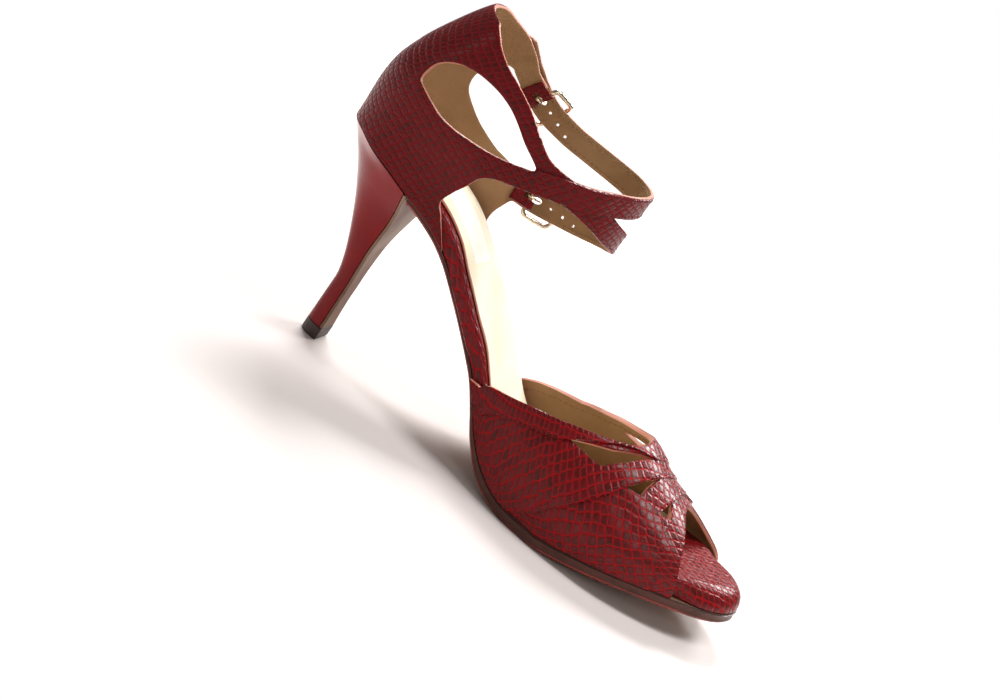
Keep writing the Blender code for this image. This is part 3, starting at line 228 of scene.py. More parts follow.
def flow(table, at, column=1):
    """Smooth value between the rows of a table, without overshoot."""
    x = np.array([row[0] for row in table])
    y = np.array([row[column] for row in table])
    at = np.clip(np.asarray(at, float), x[0], x[-1])
    run = np.diff(x)
    slope = np.diff(y) / run
    weight_a = 2 * run[1:] + run[:-1]
    weight_b = run[1:] + 2 * run[:-1]
    same_way = slope[1:] * slope[:-1] > 0
    safe = np.where(same_way, slope[1:] * slope[:-1], 1.0)
    middle = (weight_a + weight_b) * safe / (weight_a * slope[1:] + weight_b * slope[:-1] + (~same_way))
    tangent = np.concatenate([[slope[0]], np.where(same_way, middle, 0.0), [slope[-1]]])
    i = np.clip(np.searchsorted(x, at, side="right") - 1, 0, len(run) - 1)
    t = (at - x[i]) / run[i]
    cubic, square = t ** 3, t ** 2
    return (
        (2 * cubic - 3 * square + 1) * y[i] + (cubic - 2 * square + t) * run[i] * tangent[i]
        + (3 * square - 2 * cubic) * y[i + 1] + (cubic - square) * run[i] * tangent[i + 1]
    )


def ease(t):
    t = np.clip(t, 0.0, 1.0)
    return t * t * (3 - 2 * t)


def rounded(points, per_span, closed=False):
    """Smooth curve through a few points, as an array of its points."""
    points = np.asarray(points, float)
    if closed:
        rows = np.concatenate([points[-1:], points, points[:2]])
    else:
        rows = np.concatenate([2 * points[:1] - points[1:2], points, 2 * points[-1:] - points[-2:-1]])
    out = []
    for a, b, c, d in zip(rows, rows[1:], rows[2:], rows[3:]):
        for k in range(per_span):
            t = k / per_span
            out.append(0.5 * (2 * b + (c - a) * t + (2 * a - 5 * b + 4 * c - d) * t ** 2
                              + (3 * b - a - 3 * c + d) * t ** 3))
    if not closed:
        out.append(points[-1])
    return np.array(out)


def sole_top(x):
    """Height of the top of the outsole and of the heel's seat."""
    share = np.asarray(x) / LENGTH
    return OUTSOLE + (SEAT_HEIGHT - OUTSOLE) * flow(ARCH, share) + TOE_SPRING * flow(SPRING, share)


def outsole_thickness(x):
    return WAIST_OUTSOLE + (OUTSOLE - WAIST_OUTSOLE) * ease((np.asarray(x) / LENGTH - 0.44) / 0.12)


def half_width(x, side):
    """Distance of the sole's edge from the middle line, on the inner (-1) or the outer (1) side."""
    share = np.clip(np.asarray(x, float) / LENGTH, 0.0, 1.0)
    wide = BALL_WIDTH * flow(HALF_WIDTHS, share, 1 if side < 0 else 2)
    power = TOE_POWER_IN if side < 0 else TOE_POWER_OUT
    toe = np.clip((share - TOE_END) / (1 - TOE_END), 0, 1)
    heel = np.clip((HEEL_END - share) / HEEL_END, 0, 1)
    return wide * (1 - toe ** power) ** (1 / TOE_TIP_POWER) * (1 - heel ** HEEL_POWER) ** (1 / HEEL_POWER)


def sole_stations(first=0.0):
    """Stations along the sole, close together where its ends are round."""
    toe = TOE_END + (1 - TOE_END) * np.sin(np.linspace(0, math.pi / 2, 10)) ** 0.9
    middle = np.linspace(max(first, HEEL_END), TOE_END, 27)
    if first > 0:
        return LENGTH * np.concatenate([middle, toe[1:]])
    heel = HEEL_END * (1 - np.cos(np.linspace(0, math.pi / 2, 9)))
    return LENGTH * np.concatenate([heel[:-1], middle, toe[1:]])


def sole_loop(first=0.0):
    """The sole's edge as a closed loop: out along the inner side, back along the outer side."""
    x = sole_stations(first)
    inner = np.stack([x, -half_width(x, -1)], 1)
    outer = np.stack([x, half_width(x, 1)], 1)[::-1]
    if first > 0:
        return np.concatenate([inner, outer[1:]])
    return np.concatenate([inner, outer[1:-1]])


def inset(loop, amount):
    """Moves each point of a closed loop inward."""
    run = np.roll(loop, -1, 0) - np.roll(loop, 1, 0)
    normal = np.stack([-run[:, 1], run[:, 0]], 1) / np.linalg.norm(run, axis=1, keepdims=True)
    return loop + normal * np.asarray(amount).reshape(-1, 1)


def inside(points, polygon):
    """Which points lie inside a closed polygon."""
    x, y = points[:, 0:1], points[:, 1:2]
    ax, ay = polygon[:, 0], polygon[:, 1]
    bx, by = np.roll(ax, -1), np.roll(ay, -1)
    crosses = (ay > y) != (by > y)
    rise = np.where(by == ay, 1.0, by - ay)
    return ((crosses & (x < (bx - ax) * (y - ay) / rise + ax)).sum(1) % 2).astype(bool)


def distance_to(points, polygon, closed=True):
    """Distance of each point from a polygon's edge."""
    a = polygon if closed else polygon[:-1]
    b = np.roll(polygon, -1, 0) if closed else polygon[1:]
    run = b - a
    long = np.maximum((run ** 2).sum(1), 1e-18)
    t = np.clip(((points[:, None] - a) * run).sum(2) / long, 0, 1)
    return np.linalg.norm(points[:, None] - (a + t[..., None] * run), axis=2).min(1)


def on_sole(points):
    """Lifts what would sink into the sole to just above it."""
    points[:, 2] = np.maximum(points[:, 2], sole_top(points[:, 0]) + CLEARANCE)
    return points
def level(loop, height):
    return np.column_stack([loop, height])


# Heel sections from the seat down: share of the drop to the ground, rear and front as shares of the
# breast's place, half width as a share of the seat's
HEEL_SECTIONS = (
    (0.060, 0.095, 0.995, 0.880), (0.135, 0.215, 0.985, 0.745), (0.220, 0.330, 0.972, 0.590),
    (0.310, 0.435, 0.955, 0.465), (0.400, 0.520, 0.935, 0.375), (0.500, 0.615, 0.918, 0.300),
    (0.600, 0.695, 0.918, 0.245), (0.700, 0.742, 0.925, 0.213),
)


# Flare of the heel's tip: share of the height from the lift to the waist, share of the spread to the lift's size
TIP_FLARE = ((0.74, 0.08), (0.48, 0.26), (0.22, 0.58), (0.00, 0.95))


def heel_levels():
    """Rear, front, half width and height of each heel section, from just under the seat to the tip."""
    rows = []
    for drop, rear, front, half in HEEL_SECTIONS:
        width = half * half_width(BREAST, 1)
        rows.append((rear * BREAST, front * BREAST, width, SEAT_HEIGHT * (1 - drop)))
    front = rows[-1][1]
    for height, spread in TIP_FLARE:
        rear = HEEL_TIP_REAR + (rows[-1][0] - HEEL_TIP_REAR) * (1 - spread)
        width = HEEL_WAIST_WIDTH + (HEEL_TIP_WIDTH - HEEL_WAIST_WIDTH) * spread
        reach = LIFT + CLEARANCE + (HEEL_WAIST_HEIGHT - LIFT) * height
        rows.append((rear, front + (HEEL_TIP_FRONT - front) * spread, width / 2, reach))
    return rows


def seat_tilt(x, row):
    """The upper sections slope with the seat, the lower ones lie level."""
    return (sole_top(x) - sole_top(0.0)) * max(0.0, 1 - (row + 1) / 5)


# Width of the vamp's pattern plane for a turn of 1
TURN_WIDTH = 0.045
# The wall stands straight beside the insole, on this height and on this share of the turn
WALL = INSOLE - INSOLE_ROUND + CLEARANCE
WALL_TURN = 0.12


def vamp_section(x, side):
    """Feather height, ridge height, ridge side, reach to the sole's edge and fullness of a section."""
    share = x / LENGTH
    low = sole_top(x) + CLEARANCE
    high = INSTEP_HEIGHT * flow(RIDGE, share, 1)
    ridge = RIDGE_SIDE * BALL_WIDTH + 0.0 * x
    edge = np.where(side < 0, half_width(x, -1), half_width(x, 1)) - WELT - LEATHER
    full = np.where(side < 0, flow(RIDGE, share, 2), flow(RIDGE, share, 3))
    return low, high, ridge, edge, full


def vamp_point(flat):
    """The inside of the vamp under a point of the pattern."""
    x, turn = flat[:, 0], np.clip(flat[:, 1] / TURN_WIDTH, -1, 1)
    side = np.where(turn < 0, -1, 1)
    low, high, ridge, edge, full = vamp_section(x, side)
    angle = np.clip(np.abs(turn) / (1 - WALL_TURN), 0, 1) * math.pi / 2
    down = np.clip((np.abs(turn) - 1) / WALL_TURN + 1, 0, 1)
    across = np.abs(np.sin(angle)) ** (2 / full)
    up = np.abs(np.cos(angle)) ** (2 / full)
    y = ridge + side * (edge + side * -ridge) * across
    return np.column_stack([x, y, low + WALL * (1 - down) + (high - low - WALL) * up])


def outward(point, flat):
    """Unit normals of a laid pattern, by small steps along it."""
    step = 2e-4
    right = point(flat + (step, 0)) - point(flat - (step, 0))
    up = point(flat + (0, step)) - point(flat - (0, step))
    normal = np.cross(right, up)
    return normal / np.maximum(np.linalg.norm(normal, axis=1, keepdims=True), 1e-12)


def on_pattern(rows):
    """Points of the pattern plane from stations and turns."""
    return np.array(rows) * (LENGTH, TURN_WIDTH)


class Quarter:
    """The ankle loop unrolled: along it the distance from the back of the heel, upward the height."""

    def __init__(self):
        rows = np.array([(x * ANKLE_REACH, y * ANKLE_WIDTH / 2) for x, y in LOOP])
        path = rounded(rows, 12, closed=True)
        path = np.concatenate([path, path[:1]])
        self.along = np.concatenate([[0], np.cumsum(np.linalg.norm(np.diff(path, axis=0), axis=1))])
        self.path = path
        self.total = self.along[-1]
        self.front = self.along[path[:, 0].argmax()]
        self.low = self.sole_path()

    def sole_path(self):
        """Where the wall stands on the sole, for the same distances along the loop."""
        x = np.linspace(0, 0.4 * LENGTH, 160)
        low = self.path.copy()
        for side in (-1, 1):
            edge = np.stack([x, side * half_width(x, side)], 1)
            run = np.gradient(edge, axis=0)
            normal = side * np.stack([run[:, 1], -run[:, 0]], 1) / np.linalg.norm(run, axis=1, keepdims=True)
            edge = edge + normal * (WELT + LEATHER)
            edge[0] = (WELT + LEATHER, 0)
            far = np.concatenate([[0], np.cumsum(np.linalg.norm(np.diff(edge, axis=0), axis=1))])
            reach = np.interp(0.25 * LENGTH, edge[:, 0], far)
            near = self.side_distance(0.25 * LENGTH, side, 0.0)
            away = self.along if side < 0 else self.total - self.along
            mine = (self.along <= self.front) if side < 0 else (self.along > self.front)
            at = away / (near if side < 0 else self.total - near) * reach
            low[mine, 0] = np.interp(at, far, edge[:, 0])[mine]
            low[mine, 1] = np.interp(at, far, edge[:, 1])[mine]
        return low

    def side_distance(self, x, side, height):
        """Distance along the loop at a station, on the inner or the outer side."""
        share = (height - SEAT_HEIGHT) / COLLAR_HEIGHT
        lean = COLLAR_LEAN * flow(CUP, share, 1)
        station = (x - lean) / (1 - lean / ANKLE_REACH)
        if side < 0:
            mine = self.along <= self.front
            return float(np.interp(station, self.path[mine, 0], self.along[mine]))
        mine = self.along >= self.front
        return float(np.interp(-station, -self.path[mine, 0], self.along[mine]))

    def point(self, flat):
        """The inside of the quarter at a point of the pattern."""
        along, height = flat[:, 0] % self.total, flat[:, 1]
        up = [np.interp(along, self.along, self.path[:, i]) for i in (0, 1)]
        low = [np.interp(along, self.along, self.low[:, i]) for i in (0, 1)]
        share = (height - SEAT_HEIGHT) / COLLAR_HEIGHT
        fade = np.clip(1 - up[0] / ANKLE_REACH, 0, 1)
        x = up[0] + COLLAR_LEAN * flow(CUP, share, 1) * fade
        y = up[1] * (1 + (flow(CUP, share, 2) - 1) * fade)
        ground = sole_top(np.clip(low[0], 0, LENGTH))
        rise = ease((height - ground - CUP_BASE) / CUP_BLEND)
        return np.column_stack([low[0] + (x - low[0]) * rise, low[1] + (y - low[1]) * rise, height])


def ribbon(quarter, rows, grow=0.0):
    """Pattern of a strap: its middle line and its closed outline."""
    middle = []
    for leg, station, height, share in rows:
        z = SEAT_HEIGHT + height * COLLAR_HEIGHT
        at = quarter.front if leg == 0 else quarter.side_distance(station * LENGTH, leg, z)
        middle.append((at, z, share * STRAP_WIDTH / 2))
    middle = rounded(middle, 3)
    run = np.gradient(middle[:, :2], axis=0)
    normal = np.stack([-run[:, 1], run[:, 0]], 1) / np.linalg.norm(run, axis=1, keepdims=True)
    half = (middle[:, 2] + grow)[:, None]
    upper, lower = middle[:, :2] + normal * half, middle[:, :2] - normal * half
    direction = run[-1] / np.linalg.norm(run[-1])
    tip = [middle[-1, :2] + direction * half[-1] * math.cos(a) - normal[-1] * half[-1] * math.sin(a)
           for a in (math.pi / 4, 0, -math.pi / 4)]
    return middle, np.concatenate([lower, tip, upper[::-1]])
class Buckle:
    """Where a buckle sits: r runs back along the strap from the front bar, c across it and o outward from the
    inner face of the band behind it."""

    def __init__(self, quarter, rows, station):
        legs = [row[1:3] for row in rows if row[0] == 1][::-1]
        self.quarter = quarter
        self.bar = self.mark(legs, station)
        behind = self.mark(legs, station - FRAME_LENGTH / LENGTH)
        run = np.subtract(behind, self.bar)
        self.along = run / np.linalg.norm(run)
        self.across = np.array([-self.along[1], self.along[0]])

    def mark(self, legs, station):
        z = SEAT_HEIGHT + float(flow(legs, station)) * COLLAR_HEIGHT
        return np.array([self.quarter.side_distance(station * LENGTH, 1, z), z])

    def pattern(self, r, c):
        return self.bar + np.multiply.outer(r, self.along) + np.multiply.outer(c, self.across)

    def place(self, r, c, o):
        flat = self.pattern(np.asarray(r, float), np.asarray(c, float))
        return self.quarter.point(flat) + outward(self.quarter.point, flat) * np.reshape(o, (-1, 1))

    def bar_height(self, r):
        """The frame lies over the band at its pivot and rises over the strap at its front bar."""
        return PIVOT_OUT + (FRONT_OUT - PIVOT_OUT) * (1 - np.asarray(r) / FRAME_LENGTH)


# Heights of the layers at a buckle, outward from the inner face of the band
PIVOT_OUT = LEATHER / 2
TAB_OUT = PIVOT_OUT + FRAME_WIRE + CLEARANCE + TAB_LEATHER
STRAP_OUT = TAB_OUT + 2 * CLEARANCE
STRAP_AT_BAR = STRAP_OUT - 0.0008
FRONT_OUT = STRAP_AT_BAR + LEATHER + CLEARANCE + FRAME_WIRE
TONGUE_END = FRAME_LENGTH + FRAME_WIRE + 2 * PRONG_WIRE + 3 * CLEARANCE
# Outward shift of a strap's end: distance behind the front bar, share of its shift over the tab
END_LIFT = (
    (-0.034, 0.0), (-0.014, 0.25), (0.000, STRAP_AT_BAR / STRAP_OUT), (0.008, 1.0), (0.019, 1.0),
    (0.025, (LEATHER + CLEARANCE) / STRAP_OUT), (0.070, (LEATHER + CLEARANCE) / STRAP_OUT),
)


def strap_lift(quarter, buckles, points):
    """The straps' ends pass over the bands on the outer side."""
    middle = np.mean([buckle.bar[1] for buckle in buckles])
    lift = np.zeros(len(points))
    for buckle, mine in zip(buckles, (points[:, 1] > middle, points[:, 1] <= middle)):
        on_strap = mine & (points[:, 0] > quarter.front)
        behind = (points - buckle.bar) @ buckle.along
        lift = np.where(on_strap, STRAP_OUT * flow(END_LIFT, behind), lift)
    return lift
# Prong: shares of the frame's length behind the front bar, and of the height from the pivot to the front bar
PRONG_RISE = ((0.875, 0.50), (0.790, 0.74), (0.700, 0.98), (0.610, 1.10), (0.400, 1.16), (0.150, 1.24), (-0.060, 1.34))

# Fineness of the finished surfaces
FINE_NET = 0.0013
EDGE_STEP = 0.0009
EDGE_ROUND = 0.00045
PART_ORIGIN = np.array((
    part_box("top_lift")[0].x - HEEL_TIP_REAR,
    (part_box("top_lift")[0].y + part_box("top_lift")[1].y) / 2,
    0.0,
))


def evenly(curve, step, closed=False):
    """Points at even distances along a line through many points."""
    curve = np.asarray(curve, float)
    if closed:
        curve = np.concatenate([curve, curve[:1]])
    far = np.concatenate([[0], np.cumsum(np.linalg.norm(np.diff(curve, axis=0), axis=1))])
    count = max(2, int(round(far[-1] / step)) + 1)
    at = np.linspace(0, far[-1], count)[:-1 if closed else None]
    return np.column_stack([np.interp(at, far, curve[:, i]) for i in range(curve.shape[1])])


def add_piece(name, points, blocks, finishes, which=None, chart=None, sharp=38, weld=False):
    """One body from arrays: blocks of faces with equal corner counts, a finish for each face and a chart for each
    corner. The faces are turned outward by the sign of the enclosed volume."""
    mesh = bpy.data.meshes.new(name)
    faces = [row for block in blocks for row in block.tolist()]
    mesh.from_pydata((np.asarray(points) + PART_ORIGIN).tolist(), [], faces)
    for finish in finishes:
        mesh.materials.append(finish)
    if which is not None:
        mesh.polygons.foreach_set("material_index", np.asarray(which, np.int32))
    if chart is not None:
        layer = mesh.uv_layers.new(name="pattern")
        layer.data.foreach_set("uv", np.asarray(chart, np.float32).ravel())
    body = bmesh.new()
    body.from_mesh(mesh)
    if weld:
        bmesh.ops.remove_doubles(body, verts=body.verts, dist=2e-6)
        bmesh.ops.dissolve_degenerate(body, edges=body.edges, dist=1e-7)
    if body.calc_volume(signed=True) < 0:
        bmesh.ops.reverse_faces(body, faces=body.faces)
    body.to_mesh(mesh)
    body.free()
    mesh.shade_smooth()
    mesh.set_sharp_from_angle(angle=math.radians(sharp))
    made = bpy.data.objects.new(name, mesh)
    bpy.context.scene.collection.objects.link(made)
    return made


def stands_for(piece, slot, *nodes):
    """Lets a piece ride on the shoe and hides the solids that it shows instead of. slot is not used."""
    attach(piece, "root")
    if nodes:
        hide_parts(*nodes)
    return piece


def fine_net(polygons, keep, lines=(), spacing=FINE_NET):
    """Triangles between closed edges: an even net of points inside, two rows of points along each edge for its
    rounding, and fixed lines. Returns the points and the triangles."""
    edges, points, start = [], [], 0
    for closed, group in ((True, polygons), (False, lines)):
        for line in group:
            count = len(line)
            first = np.arange(count if closed else count - 1)
            edges.append(np.stack([start + first, start + (first + 1) % count], 1))
            points.append(np.asarray(line))
            start += count
    fixed = np.concatenate(points)
    near = []
    for polygon in polygons:
        run = np.roll(polygon, -1, 0) - np.roll(polygon, 1, 0)
        normal = np.stack([-run[:, 1], run[:, 0]], 1) / np.maximum(np.linalg.norm(run, axis=1, keepdims=True), 1e-12)
        near += [polygon + normal * side * share * EDGE_ROUND for side in (-1, 1) for share in (0.35, 1.0)]
    near = np.concatenate(near)
    low, high = fixed.min(0), fixed.max(0)
    columns, rows = np.meshgrid(np.arange(low[0], high[0], spacing), np.arange(low[1], high[1], spacing * 0.866))
    columns = columns + spacing / 2 * (np.arange(len(columns))[:, None] % 2)
    net = np.column_stack([columns.ravel(), rows.ravel()])
    net = net[keep(net)]
    near = near[keep(near)]
    for polygon in polygons:
        net = net[distance_to(net, polygon) > EDGE_ROUND + spacing * 0.4]
        near = near[distance_to(near, polygon) > EDGE_ROUND * 0.25]
    for line in lines:
        net = net[distance_to(net, line, closed=False) > spacing * 0.35]
        near = near[distance_to(near, line, closed=False) > EDGE_ROUND * 0.3]
    everything = np.concatenate([fixed, near, net])
    verts, _, faces, _, _, _ = delaunay_2d_cdt(everything.tolist(), np.concatenate(edges).tolist(), [], 0, 1e-7)
    verts = np.array([tuple(v) for v in verts])
    faces = np.array(faces)
    faces = faces[keep(verts[faces].mean(1))]
    used, faces = np.unique(faces, return_inverse=True)
    return verts[used], faces.reshape(-1, 3)


def rim_of(faces):
    """The directed edges of triangles that have no neighbour."""
    sides = np.concatenate([faces[:, [0, 1]], faces[:, [1, 2]], faces[:, [2, 0]]])
    key = sides[:, 0].astype(np.int64) * (faces.max() + 1) + sides[:, 1]
    back = sides[:, 1].astype(np.int64) * (faces.max() + 1) + sides[:, 0]
    return sides[~np.isin(key, back)]


def leather(name, polygons, keep, place, height, finishes, chart, lines=()):
    """A sheet of leather: the pattern is laid out as an outer and an inner face, a distance apart that falls along
    a quarter circle at every edge, and the two are joined by the cut edge. finishes are outside, inside and edge."""
    flat, faces = fine_net(polygons, keep, lines)
    rim = rim_of(faces)
    on_edge = np.zeros(len(flat), bool)
    on_edge[rim.ravel()] = True
    away = np.full(len(flat), 1.0)
    for polygon in polygons:
        away = np.minimum(away, distance_to(flat, polygon))
    away = np.where(on_edge, 0.0, np.maximum(away, 0.0))
    short = 1 - np.clip(away / EDGE_ROUND, 0, 1)
    drop = EDGE_ROUND * (1 - np.sqrt(1 - short ** 2))
    cut = on_edge | keep_near(flat, rim)
    drop = np.where(cut, drop, 0.0)
    outer = place(flat, height(flat) - drop)
    inner = place(flat, drop * 0.5)
    count = len(flat)
    walls = np.column_stack([rim[:, 1], rim[:, 0], rim[:, 0] + count, rim[:, 1] + count])
    back = faces[:, ::-1] + count
    which = np.repeat([0, 1, 2], [len(faces), len(back), len(walls)])
    uv = chart(flat, faces)
    wall_uv = flat[walls % count] / FINE_NET
    everything = np.concatenate([uv.reshape(-1, 2), (flat[faces[:, ::-1]] * 100).reshape(-1, 2), wall_uv.reshape(-1, 2)])
    return add_piece(name, np.concatenate([outer, inner]), [faces, back, walls], finishes, which, everything)


def keep_near(flat, rim):
    """Which points of the pattern lie within an edge's rounding of an edge that is really cut."""
    middle = (flat[rim[:, 0]] + flat[rim[:, 1]]) / 2
    ends = np.concatenate([flat[rim[:, 0]], middle])
    close = np.zeros(len(flat), bool)
    for part in np.array_split(np.arange(len(flat)), max(1, len(flat) // 2000)):
        apart = np.linalg.norm(flat[part][:, None] - ends[None], axis=2)
        close[part] = apart.min(1) < EDGE_ROUND * 1.6
    return close


def ring_faces(rows, columns, closed=True):
    """Quads of a grid whose rows run round a body."""
    row = np.arange(rows - 1)[:, None]
    column = np.arange(columns if closed else columns - 1)[None, :]
    after = (column + 1) % columns
    return np.stack([row * columns + column, row * columns + after, (row + 1) * columns + after,
                     (row + 1) * columns + column], -1).reshape(-1, 4)


def plate(name, loops, floor, roof, finishes, bands, open_end=False, steps=9):
    """A sole layer: a profile carried round its outline. Rings run from the middle line of its underside out to
    the edge, up the side and back to the middle line of its top, where opposite points meet. bands gives the
    finish of the underside, of each step up the side, and of the top."""
    count = len(loops[0])
    pair = np.arange(count)[::-1] if open_end else (-np.arange(count)) % count
    shares = 1 - np.linspace(0, 1, steps) ** 0.8

    def cap(loop, height):
        middle = (loop + loop[pair]) / 2
        middle[:, 1] = middle[:, 1].mean() * 0 + (loop[:, 1] + loop[pair, 1]) / 2
        rows = [middle + (loop - middle) * share for share in shares[1:]]
        return [np.column_stack([row[:, :2], height(row[:, 0])]) for row in rows]

    rows = cap(loops[0], floor)[::-1] + list(loops) + cap(loops[-1], roof)
    grid = np.stack(rows)
    faces = ring_faces(len(rows), count)
    level_of = np.repeat(np.arange(len(rows) - 1), count)
    side = np.clip(level_of - (steps - 2), 0, len(loops))
    which = np.asarray(bands)[side]
    out = np.concatenate([[0], np.cumsum(np.linalg.norm(np.diff(grid, axis=0), axis=2).mean(1))])
    flat = np.stack([grid[..., 0], grid[..., 1]], -1)
    top = len(rows) - steps
    drop = out[top] - np.minimum(out, out[top])
    outward_sign = np.sign(grid[..., 1])
    flat[..., 1] = flat[..., 1] + outward_sign * drop[:, None]
    chart = flat.reshape(-1, 2)[faces.ravel()]
    return add_piece(name, grid.reshape(-1, 3), [faces], finishes, which, chart, weld=True)


def wire(name, path, radius, finish, closed=False, sides=16):
    """A round wire: a circle carried along a smooth path, its radius given for each point, with domed ends."""
    path = np.asarray(path, float)
    radius = np.broadcast_to(np.asarray(radius, float), len(path)).copy()
    run = np.roll(path, -1, 0) - np.roll(path, 1, 0)
    if not closed:
        run[0], run[-1] = path[1] - path[0], path[-1] - path[-2]
    run /= np.linalg.norm(run, axis=1, keepdims=True)
    side = np.cross(run[0], (0.0, 0.0, 1.0))
    frames = []
    for ahead in run:
        side = side - ahead * (side @ ahead)
        side = side / np.linalg.norm(side)
        frames.append((side, np.cross(ahead, side)))
    across, up = np.array(frames).transpose(1, 0, 2)
    turn = 2 * math.pi * np.arange(sides) / sides
    if not closed:
        dome = np.array((0.0, 0.5, 0.87))
        ends = []
        for end, way in ((0, -1), (-1, 1)):
            shift = path[end] + way * run[end] * radius[end] * np.sqrt(1 - dome[:, None] ** 2)
            ends.append((shift, dome * radius[end]))
        (first, first_r), (last, last_r) = ends
        path = np.concatenate([first, path, last[::-1]])
        radius = np.concatenate([first_r, radius, last_r[::-1]])
        across = np.concatenate([across[:1].repeat(3, 0), across, across[-1:].repeat(3, 0)])
        up = np.concatenate([up[:1].repeat(3, 0), up, up[-1:].repeat(3, 0)])
    grid = path[:, None] + radius[:, None, None] * (
        np.cos(turn)[None, :, None] * across[:, None] + np.sin(turn)[None, :, None] * up[:, None])
    rows = len(grid)
    faces = ring_faces(rows, sides)
    if closed:
        last = (rows - 1) * sides
        column = np.arange(sides)
        after = (column + 1) % sides
        faces = np.concatenate([faces, np.stack([last + column, last + after, after, column], 1)])
    chart = np.column_stack([faces.ravel() // sides / rows, faces.ravel() % sides / sides])
    return add_piece(name, grid.reshape(-1, 3), [faces], [finish], None, chart, sharp=60, weld=not closed)


def thread(name, starts, ends, lifts, radius, finish, sides=6):
    """A row of stitches: each is a short bent thread, an arc from one hole to the next, its ends in the leather."""
    along = np.linspace(0, 1, 7)
    arch = np.sin(along * math.pi) ** 0.6
    middle = (starts[:, None] + (ends - starts)[:, None] * along[None, :, None]
              + lifts[:, None] * (arch[None, :, None] * radius - radius * 0.9 * (1 - arch[None, :, None])))
    run = (ends - starts) / np.linalg.norm(ends - starts, axis=1, keepdims=True)
    up = lifts - run * (lifts * run).sum(1, keepdims=True)
    up /= np.linalg.norm(up, axis=1, keepdims=True)
    across = np.cross(run, up)
    turn = 2 * math.pi * np.arange(sides) / sides
    thick = radius * (0.35 + 0.65 * np.sin(along * math.pi) ** 0.5)
    ring = np.cos(turn)[:, None] * across[:, None, None] + np.sin(turn)[:, None] * up[:, None, None]
    grid = middle[:, :, None] + thick[None, :, None, None] * ring
    per = len(along) * sides
    one = ring_faces(len(along), sides)
    faces = (one[None] + per * np.arange(len(starts))[:, None, None]).reshape(-1, 4)
    caps = np.concatenate([np.arange(sides)[::-1][None], (per - sides + np.arange(sides))[None]])
    caps = (caps[None] + per * np.arange(len(starts))[:, None, None]).reshape(-1, sides)
    return add_piece(name, grid.reshape(-1, 3), [faces, caps], [finish], sharp=70)


def stitch_row(name, curve, place, out, finish, pitch=0.0024, share=0.72, radius=0.00016):
    """Stitches along a line of the pattern, at a height above the inner face of the leather."""
    holes = evenly(curve, pitch)
    start = holes[:-1]
    end = start + (holes[1:] - start) * share
    lift = place(start, np.full(len(start), out + np.sign(out - 1e-4) * 1e-3)) - place(start, np.full(len(start), out))
    lift /= np.linalg.norm(lift, axis=1, keepdims=True)
    height = np.full(len(start), out)
    return thread(name, place(start, height), place(end, height), lift, radius, finish)

# Colours in linear light
OUTLINE_RED = (0.30, 0.0035, 0.0055, 1)
OUTLINE_DEEP = (0.175, 0.0028, 0.0045, 1)
CELL_MAROON = (0.120, 0.0080, 0.0100, 1)
CELL_BROWN = (0.066, 0.0095, 0.0085, 1)
LINING_TAN = (0.37, 0.215, 0.105, 1)
LINING_DARK = (0.24, 0.125, 0.048, 1)
# Sock colours: its own tan, both tones lightened toward cream white as painted glare.
SOCK_TAN = (0.88, 0.80, 0.62, 1)
SOCK_SHADE = (0.76, 0.63, 0.41, 1)
CUT_PINK = (0.60, 0.25, 0.16, 1)
CUT_BROWN = (0.30, 0.07, 0.045, 1)
EDGE_BROWN = (0.105, 0.034, 0.022, 1)
# EDGE_DARK also colours the painted shade in the groove between the sole and the upper.
EDGE_DARK = (0.055, 0.020, 0.014, 1)
BEVEL_RED = (0.33, 0.030, 0.020, 1)
LACQUER_RED = (0.24, 0.0018, 0.003, 1)
LACQUER_DEEP = (0.15, 0.0010, 0.0016, 1)
COVER_GREY = (0.24, 0.140, 0.080, 1)
RUBBER = (0.035, 0.016, 0.012, 1)
PALE_GOLD = (0.82, 0.72, 0.55, 1)
WORN_GOLD = (0.62, 0.52, 0.38, 1)
THREAD_TAN = (0.27, 0.160, 0.075, 1)
THREAD_RED = (0.20, 0.008, 0.010, 1)
PATCH_GREY = (0.84, 0.84, 0.80, 1)


class Nodes:
    """Adds nodes to a tree. An input that is a socket is joined, and any other is set."""

    def __init__(self, tree):
        self.tree = tree

    def add(self, kind, inputs=(), **settings):
        node = self.tree.nodes.new(kind if kind.startswith("Node") else "ShaderNode" + kind)
        for key, value in settings.items():
            setattr(node, key, value)
        for key, value in dict(inputs).items():
            self.feed(node.inputs[key], value)
        return node

    def feed(self, socket, value):
        if isinstance(value, bpy.types.NodeSocket):
            self.tree.links.new(value, socket)
        else:
            socket.default_value = value

    def math(self, operation, a, b=0.5, clamp=False):
        return self.add("Math", {0: a, 1: b}, operation=operation, use_clamp=clamp).outputs[0]

    def span(self, value, low, high, to_low=0.0, to_high=1.0):
        """A smooth step from low to high."""
        made = self.add("MapRange", {0: value, 1: low, 2: high, 3: to_low, 4: to_high},
                        interpolation_type="SMOOTHSTEP")
        return made.outputs[0]

    def mix(self, share, a, b, blend="MIX"):
        made = self.add("Mix", {0: share, 6: a, 7: b}, data_type="RGBA", blend_type=blend)
        return made.outputs[2]

    def noise(self, vector, scale, detail=3.0, roughness=0.55):
        made = self.add("TexNoise", {"Vector": vector, "Scale": scale, "Detail": detail, "Roughness": roughness})
        return made.outputs[0]

    def stretched(self, vector, scale):
        return self.add("Mapping", {"Vector": vector, "Scale": scale}).outputs[0]


